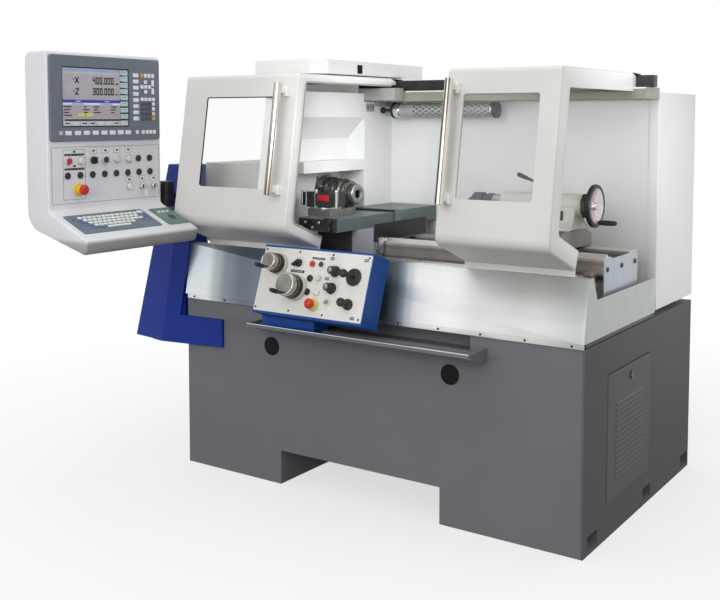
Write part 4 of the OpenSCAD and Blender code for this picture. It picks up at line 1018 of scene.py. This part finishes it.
def console_buttons():
    """Round fittings on the lower face: bright bezels, coloured caps, plugs, the selector, stop and key switches."""
    lamps = ((-1286, "#C8242B"), (-1226, "#E8E8E2"), (-1109, "#2B2B2E"), (-992, "#DCE2D8"))
    bezels = [on_console(collar(16.5, 0.2, 6), y, ROW_HIGH) for y, _ in lamps]
    bezels.append(on_console(collar(16.5, 0.2, 5, 11.6), START_Y, ROW_HIGH))
    bezels.append(on_console(collar(15, 0.2, 6), LAMP_Y, 1226))
    caps = [on_console(collar(11.5, 5, 10), y, ROW_HIGH, code) for y, code in lamps]
    caps += [on_console(collar(13, 0.2, 5), y, ROW_HIGH, "#26272A") for y in (-940, -880)]
    caps += [on_console(collar(13, 0.2, 5), y, ROW_MID, "#26272A") for y in np.linspace(-1291, -878, 8)]
    caps.append(on_console(collar(10.5, 5, 10), LAMP_Y, 1226, "#E8E8E2"))
    tag = ((pad(30, 22, 0.1, 0.8, 1, 0.2), "#77777A"), (pad(27.5, 19.5, 0.7, 1.0, 1, 0.2), "#F4F4F0"),
           (pad(13, 7, 0.9, 1.2, 2, 0.1), "#3A3A3C"))
    places = [(y, 1371) for y in (DIAL_Y, -1109, START_Y, -992)] + [(y, 1254) for y in (LAMP_Y, KEY_A_Y, KEY_B_Y)]
    caps += [on_console(shape, *at, code) for at in places for shape, code in tag]
    for z in (1358, 1305):
        caps.append(on_console(pad(92, 8, 0.1, 0.8, 1, 0.2), -1258, z, "#1B1B1D"))
        caps.append(on_console(pad(12, 7, 0.1, 0.8, 1, 0.2), -1258, z + 11, "#1B1B1D"))
        caps += [on_console(pad(2, 5, 0.8, 1.0, 0.3, 0.1), y, z, "#D9D9D4") for y in (-1292, -1275, -1241, -1224)]
    frames = ((-1362, -827, 1178, 1386), (-1310, -1207, 1192, 1376))
    lines = [on_console(pad(y1 - y0, 1.6, 0.02, 0.3, 0.5, 0.1), (y0 + y1) / 2, z)
             for y0, y1, z0, z1 in frames for z in (z1, z0)]
    lines += [on_console(pad(1.6, z1 - z0, 0.02, 0.3, 0.5, 0.1), y, (z0 + z1) / 2)
              for y0, y1, z0, z1 in frames for y in (y0, y1)]
    put("console_bezels", "console", chrome, bezels)
    put("console_caps", "console", key_plastic, caps)
    put("console_lines", "console", slate_plastic, lines)
    put("console_stop_ring", "console", yellow_plastic,
        [on_console(collar(23, 0.2, 7), *STOP_YZ), on_console(collar(18, 6, 22), *STOP_YZ)])
    put("console_stop_cap", "stop_console", red_plastic, [on_console(mushroom(20, -4, 42), *STOP_YZ)],
        ("console_stop",))
    start = on_console(collar(11, -4, 10), START_Y, ROW_HIGH, "#D9DCD6")
    put("console_start_cap", "button_start", key_plastic, [start], ("console_start",))
    dial = lathed([(6, -8), (6, 0.3), (15, 0.3), (14, 12), (0, 12)], [0, 0, 0.5, 2, 0], 3, 96, teeth=24, depth=0.8)
    put("console_selector", "knob_console", black_plastic,
        [on_console(s, DIAL_Y, ROW_HIGH) for s in (dial, pad(6, 24, 10, 24, 2, 1.5))], ("console_knob",))
    lock = lathed([(6, -8), (6, 0.3), (13, 0.3), (13, 9), (10, 12), (0, 12)], [0, 0, 0.5, 1, 1, 0], 3, 36)
    for letter, y, paper in (("a", KEY_A_Y, "#F1EFEC"), ("b", KEY_B_Y, "#EDB9BE")):
        name, body = "key_lock_" + letter, "key_" + letter
        put(name, body, chrome, [on_console(lock, y, 1224)], ("key_switch_" + letter,))
        blade = [on_console(pad(3, 22, 11, 24, 1, 0.5), y, 1224, "#B9BCC0"),
                 on_console(collar(9, 9, 12.6), y, 1224, "#1F1F22"),
                 on_console(pad(13, 24, 20.5, 22.5, 3, 0.6), y + 3, 1199, paper)]
        put(name + "_blade", body, key_plastic, blade)


def keyboard():
    """Film plate with four rows of pale keys and blue ones round them, and a pointer plate beside it."""
    put("keyboard_plate", "console", key_film, [on_ledge(pad(383, 135, 0.2, 3, 8, 1), -1158.5, 107.5)], ("keyboard",))
    rows = ((-1290, 66, 13), (-1278, 85, 12), (-1268, 104, 12), (-1256, 123, 9))
    keys = [on_ledge(pad(17, 12.5, 2.9, 5.5, 2, 0.9), first + 22.4 * i, s, KEY_PALE)
            for first, s, count in rows for i in range(count)]
    keys.append(on_ledge(pad(24, 16, 2.9, 5.5, 2, 0.9), -992, 62, KEY_PALE))
    keys.append(on_ledge(pad(112, 10, 2.9, 5.5, 2, 0.9), -1160, 142, KEY_PALE))
    blue = [(-1318 + 7 * i, 68 + 18 * i) for i in range(5)] + [(-1300 + 9 * i, 86 + 18 * i) for i in range(4)]
    blue += [(y, s) for s in (104, 122) for y in (-1022, -1003, -985)]
    blue += [(-1000, 50), (-984, 50), (-984, 84), (-1230, 142), (-1246, 142), (-1262, 142)]
    keys += [on_ledge(pad(14, 9, 2.9, 4, 1.5, 0.5), y, s, "#4657A8") for y, s in blue]
    put("keyboard_keys", "console", key_plastic, keys)
    ring = hoop([(9, 2.2), (17, 2.2), (17, 3.4), (9, 3.4)], [0.3, 0.3, 0.8, 0.8], 2, 36)
    side = [on_ledge(pad(112, 132, 0.2, 2.2, 8, 1), -877, 112, "#5C7671")]
    side += [on_ledge(pad(13, 11, 2.2, 3.2, 2, 0.5), -877 + d, 76, "#EEF3EF") for d in (-22, 0, 22)]
    side.append(on_ledge(ring, -870, 122, "#2E3A38"))
    put("pointer_plate", "console", key_plastic, side)


console_case()
screen_bezel()
screen_picture()
screen_keys()
console_buttons()
keyboard()


# Hand panel: off-white plate in its blue box, with wheels, knobs, stick, stop and lamps

TILT = math.radians(19.6)
PANEL_O = np.array([-371, -790, 747.0])
PANEL_Y = np.array([0, math.sin(TILT), math.cos(TILT)])
PANEL_Z = np.array([0, -math.cos(TILT), math.sin(TILT)])
X_WHEEL, Z_WHEEL = (88, 193), (190, 111)
FEED, SPEED, MODE = (356, 188), (352, 124), (179, 207)
STICK, JOG, STOP = (441, 174), (438, 72), (285, 55)
RUN, HALT = (285, 157), (246, 208)
PLUGS = ((246, 153), (245, 101))
SIGNS = ((330, 236), (322, 158), (482, 240), (466, 24))
LABEL_BLACK, LABEL_MARK = "#1B1B1E", "#C9C9C2"


def on_panel(shape, u, v, code=None):
    """Shape set on the leaning panel face at u to the right and v up it, in a colour of its own if one is given."""
    return lay(shape, PANEL_O + X * u + PANEL_Y * v, X, PANEL_Y, PANEL_Z, code)


def hand_plate():
    """Plate with eased corners, dial bases, bezels, plugs, scales, labels, boot and screws."""
    plate = on_panel(pad(502, 251, 0.1, 3, 6, 0.8), 255, 134.5)
    put("panel_plate", "hand_panel", plate_film, [plate], ("control_plate",))
    dials = [on_panel(lathed([(r, 3), (r, z), (r - 4, z + 3), (r - 4, top), (6.4, top)], [0, 4, 1, 0.5, 0], 3, 64), *at)
             for r, z, top, at in ((42, 16, 21, X_WHEEL), (50, 17, 23, Z_WHEEL))]
    put("dial_bases", "hand_panel", cream_plastic, dials)
    bezels = [on_panel(collar(14, 2.9, 7, 11.5), *at) for at in (RUN, HALT)]
    bezels += [on_panel(collar(14, 2.9, 8), *at) for at in ((287, 209), (289, 103), (344, 71))]
    bezels += [on_panel(collar(8.5, 2.9, 4.5, 7), *at) for at in PLUGS]
    put("panel_bezels", "hand_panel", chrome, bezels)
    rings = [on_panel(lathed([(6.4, a), (r, a), (r, b), (6.4, b)], [0, 0.3, 0.8, 0], 2, 64), *at)
             for r, a, b, at in ((38, 21, 35.6, X_WHEEL), (46, 23, 39.6, Z_WHEEL))]
    put("dial_rings", "hand_panel", black_plastic, rings)
    caps = [on_panel(collar(13, 2.9, 9), *at, "#222226") for at in PLUGS]
    caps += [on_panel(collar(10, 7, 11), 287, 209, "#3A3A3C"), on_panel(collar(10, 7, 12), 289, 103, "#EFEFEA"),
             on_panel(collar(9, 7, 10), 344, 71, "#8D9092"),
             on_panel(pad(64, 10, 2.9, 4.2, 2, 0.5), 181, 175, LABEL_BLACK),
             on_panel(pad(58, 9, 2.9, 3.4, 1, 0.2), 267, 240, "#F4F4F0"),
             on_panel(pad(58, 8, 2.9, 3.6, 1, 0.2), 267, 231, LABEL_BLACK)]
    caps += [on_panel(pad(7, 3, 4.1, 4.5, 0.5, 0.1), 160 + 10.5 * i, 175, LABEL_MARK) for i in range(5)]
    caps += [on_panel(pad(7, 3, 3.5, 3.9, 0.5, 0.1), 249 + 12 * i, 231, LABEL_MARK) for i in range(4)]
    caps += [on_panel(collar(4, 2.9, 5), u, v, LABEL_BLACK) for u in (14, 175, 332, 494) for v in (22, 250)]
    caps += [on_panel(pad(18, 11, 2.9, 3.3, 0.5, 0.1), *at, "#4A4D50") for at in SIGNS]
    caps += [on_panel(pad(4, 5, 3.2, 3.6, 0.5, 0.1), u + d, v, "#D9D9D4") for u, v in SIGNS for d in (-4, 3)]
    for (u, v), r in ((FEED, 30), (SPEED, 30), (MODE, 23)):
        for a in np.linspace(-2.3, 2.3, 11):
            s, c = math.sin(a), math.cos(a)
            tick = lay(pad(1.4, 5, 2.9, 3.3, 0.2, 0.1), (0, 0, 0), (c, -s, 0), (s, c, 0))
            caps.append(on_panel(tick, u + r * s, v + r * c, "#33363A"))
    put("panel_caps", "hand_panel", key_plastic, caps)
    boot = lathed([(33, 3), (33, 7), (27, 9), (24, 7.5), (21, 10.5), (17, 9), (14, 11.5), (9, 11.6)], 1.2, 3, 48)
    put("stick_boot", "hand_panel", black_plastic, [on_panel(boot, *STICK)])
    put("panel_stop_ring", "hand_panel", yellow_plastic, [on_panel(collar(21, 16, 25), *STOP)])
    put("panel_stop_house", "hand_panel", pale_plastic, [on_panel(collar(24, 2.9, 17), *STOP)])


def crank(name, body, u, v, h, r, node):
    """Electronic handwheel: black graduated rim, knurled skirt, dished face with a bright lip and a black handle."""
    rim = lathed([(6, -10), (6, h + 0.3), (r, h + 0.3), (r, h + 15), (r - 3, h + 17), (r - 3, h + 20)],
                 [0, 0, 1, 1, 1, 0], 3, 64)
    put(name + "_rim", body, black_plastic, [on_panel(rim, u, v)], (node,))
    skirt = lathed([(r - 4, h + 15), (r - 1, h + 18), (r, h + 36), (r - 2, h + 42), (r - 5, h + 44), (r - 7, h + 42)],
                   [0, 1, 3, 2, 2, 0], 3, 160, teeth=40, depth=0.8)
    put(name + "_skirt", body, dish_alu, [on_panel(skirt, u, v)])
    dish = lathed([(r - 6, h + 43), (r - 8, h + 40), (r - 11, h + 36), (11, h + 29), (9, h + 30), (8, h + 34),
                   (0, h + 34.5)], [0, 1, 2, 2, 1, 1, 0], 4, 56)
    put(name + "_dish", body, dish_dark, [on_panel(dish, u, v)])
    lip = lathed([(r - 7, h + 42.5), (r - 6, h + 44.6), (r - 3, h + 44.4), (r - 1.5, h + 41.5)], [0, 0.8, 0.8, 0],
                 3, 56)
    put(name + "_lip", body, chrome, [on_panel(lip, u, v)])
    ticks = []
    for a in np.linspace(0, 2 * math.pi, 40, endpoint=False):
        s, c = math.sin(a), math.cos(a)
        tick = lay(pad(1.2, 9, 0, 0.4, 0.2, 0.1), (r * c * 0.995, r * s * 0.995, h + 7), (-s, c, 0), Z, (c, s, 0))
        ticks.append(on_panel(tick, u, v, "#D8D8D2"))
    put(name + "_marks", body, printed, ticks)
    grip = lathed([(4, h + 38), (4, h + 46), (8, h + 50), (9, h + 78), (7, h + 97), (0, h + 98)],
                  [0, 1, 4, 10, 4, 0], 4, 24)
    put(name + "_grip", body, black_plastic, [on_panel(grip, u - 0.3 * r, v - 0.78 * r)])


def panel_controls():
    """Knobs with fluted skirts and a white line, the stick, the jog lever, the stop and the two push-buttons."""
    knob = lathed([(6, -8), (6, 3.3), (22, 3.3), (21, 12), (16, 14), (15.5, 40), (13, 43), (0, 43)],
                  [0, 0, 1, 2, 2, 2, 2, 0], 3, 80, teeth=20, depth=1.2)
    for name, at in (("feed", FEED), ("speed", SPEED)):
        put(name + "_knob_body", "knob_" + name, black_plastic, [on_panel(knob, *at)], (name + "_knob",))
        put(name + "_knob_line", "knob_" + name, key_plastic,
            [on_panel(pad(2, 13, 42.8, 43.4, 0.5, 0.2, (0, 6)), *at, "#E4E4E0"),
             on_panel(collar(9, 42.7, 43.2), *at, "#8E9194")])
    mode = [lathed([(6, -8), (6, 3.3), (16, 3.3), (15, 12), (0, 15)], [0, 0, 0.5, 2, 0], 3, 40),
            lay(pad(30, 9, 12, 29, 3, 2), (-5, -4, 0), unit((5, 4, 0)), unit((-4, 5, 0)))]
    put("mode_knob_body", "knob_mode", black_plastic, [on_panel(s, *MODE) for s in mode], ("mode_knob",))
    stick = lathed([(0, 12), (8, 14), (8, 24), (5, 30), (5, 56), (12, 62), (17, 74), (12, 88), (0, 92)],
                   [0, 3, 3, 3, 2, 5, 9, 7, 0], 5, 40)
    put("stick_body", "stick", black_plastic, [on_panel(stick, *STICK)], ("joystick",))
    jog = lathed([(6, -8), (6, 3.3), (21, 3.3), (20, 13), (11, 18), (9, 34), (15, 42), (17, 54), (12, 64), (0, 66)],
                 [0, 0, 0.5, 3, 4, 4, 5, 6, 5, 0], 4, 44)
    put("jog_lever_body", "lever_jog", black_plastic, [on_panel(jog, *JOG)], ("jog_lever",))
    put("panel_stop_cap", "stop_panel", red_plastic, [on_panel(mushroom(19, -4, 46), *STOP)], ("control_stop",))
    cap = collar(11, -4, 13)
    put("run_button_cap", "button_run", key_plastic, [on_panel(cap, *RUN, "#DDE2D2")], ("run_button",))
    put("halt_button_cap", "button_halt", red_plastic, [on_panel(cap, *HALT)], ("halt_button",))


hand_plate()
crank("x_wheel", "wheel_x", *X_WHEEL, 36, 34, "x_handwheel")
crank("z_wheel", "wheel_z", *Z_WHEEL, 40, 45, "z_handwheel")
panel_controls()


# Trim of the toolpost, the slides and the saddle

SLIDE_FRONT = -575
SADDLE_SIDE = -40


def slide_trim():
    """Bare red plate and bright clamping rods on the toolpost, its carrier and graduated ring; on the cross slide a
    black plate of painted shade on the left of its front, with bolts, and a dark block with two knobs; a black plate of
    painted shade on the saddle's front, a black band on its side, and the wipers."""
    put("toolpost_plate", "cross", red_plastic, [forward(pad(56, 23, 0, 1.6, 2, 0.5), (-246, -493.2, 1173))])
    rod = lathed([(0, 1133), (8.4, 1133), (8.4, 1204), (6, 1209.6), (0, 1209.6)], [0, 1, 2, 2, 0], 3, 28)
    pin = lathed([(0, 1139), (5, 1139), (5, 1200), (3, 1204), (0, 1204)], [0, 1, 1, 1, 0], 3, 20)
    rods = [lay(rod, (x, -485, 0)) for x in (-288, -188)] + [lay(pin, (x, -476, 0)) for x in (-366, -344)]
    put("toolpost_rods", "cross", chrome, rods)
    drum = turned([(63.2, 1125.4), (74.6, 1125.4), (75.5, 1124.6), (75.5, 1100.6), (75, 1100.6)], 72)
    carrier = [lay(drum, (*POST_AT, 0)), pad(78, 151, 1100.7, 1125.5, 3, 1, (-243.2, -425))]
    put("tool_carrier", "cross", brown_steel, carrier)
    # First plate: painted shade on the left of the cross slide's front; the second is a dark block with two knobs
    front = [forward(pad(128, 44, 0.2, 4, 3, 1), (-241, SLIDE_FRONT, 1075)),
             forward(pad(63, 54, 0.2, 2.5, 3, 1), (-143, -587, 1078))]
    front += [forward(head(12.4, 0, 15, 15.5, 2, 36, 0.3), (-144, -587, z)) for z in (1064.3, 1090.3)]
    put("slide_shade_plate_and_block", "cross", black_steel, front)
    bolts = [forward(head(6, 4, 8, 8.5, 1.5, 24), (x, SLIDE_FRONT, z))
             for x, z in ((-292, 1064), (-270, 1084), (-236, 1064), (-204, 1084))]
    put("slide_bolts", "cross", chrome, bolts)
    # Black plate on the saddle's front: painted shade; the band on the saddle's side is black as well
    shade_and_band = [forward(pad(170, 160, 0.2, 3, 3, 1), (-224, -445, 966)),
             along_x(pad(400, 70, 0.2, 3, 3, 1), (SADDLE_SIDE, -238, 1040))]
    put("saddle_shade_and_band", "carriage", black_steel, shade_and_band)
    wiper = [along_x(pad(44, 15, 0.2, 10, 2, 1), (SADDLE_SIDE, -374, 1009)),
             along_x(pad(30, 64, 0.2, 12, 2, 1), (SADDLE_SIDE, -400, 988))]
    put("way_wiper", "carriage", chrome, wiper)
    ring = hoop([(62.3, 1126), (63, 1126), (63, 1132.5), (62.3, 1132.5)], 0.2, 2, 72)
    put("toolpost_ring", "cross", ground, [lay(ring, (*POST_AT, 0))])


slide_trim()
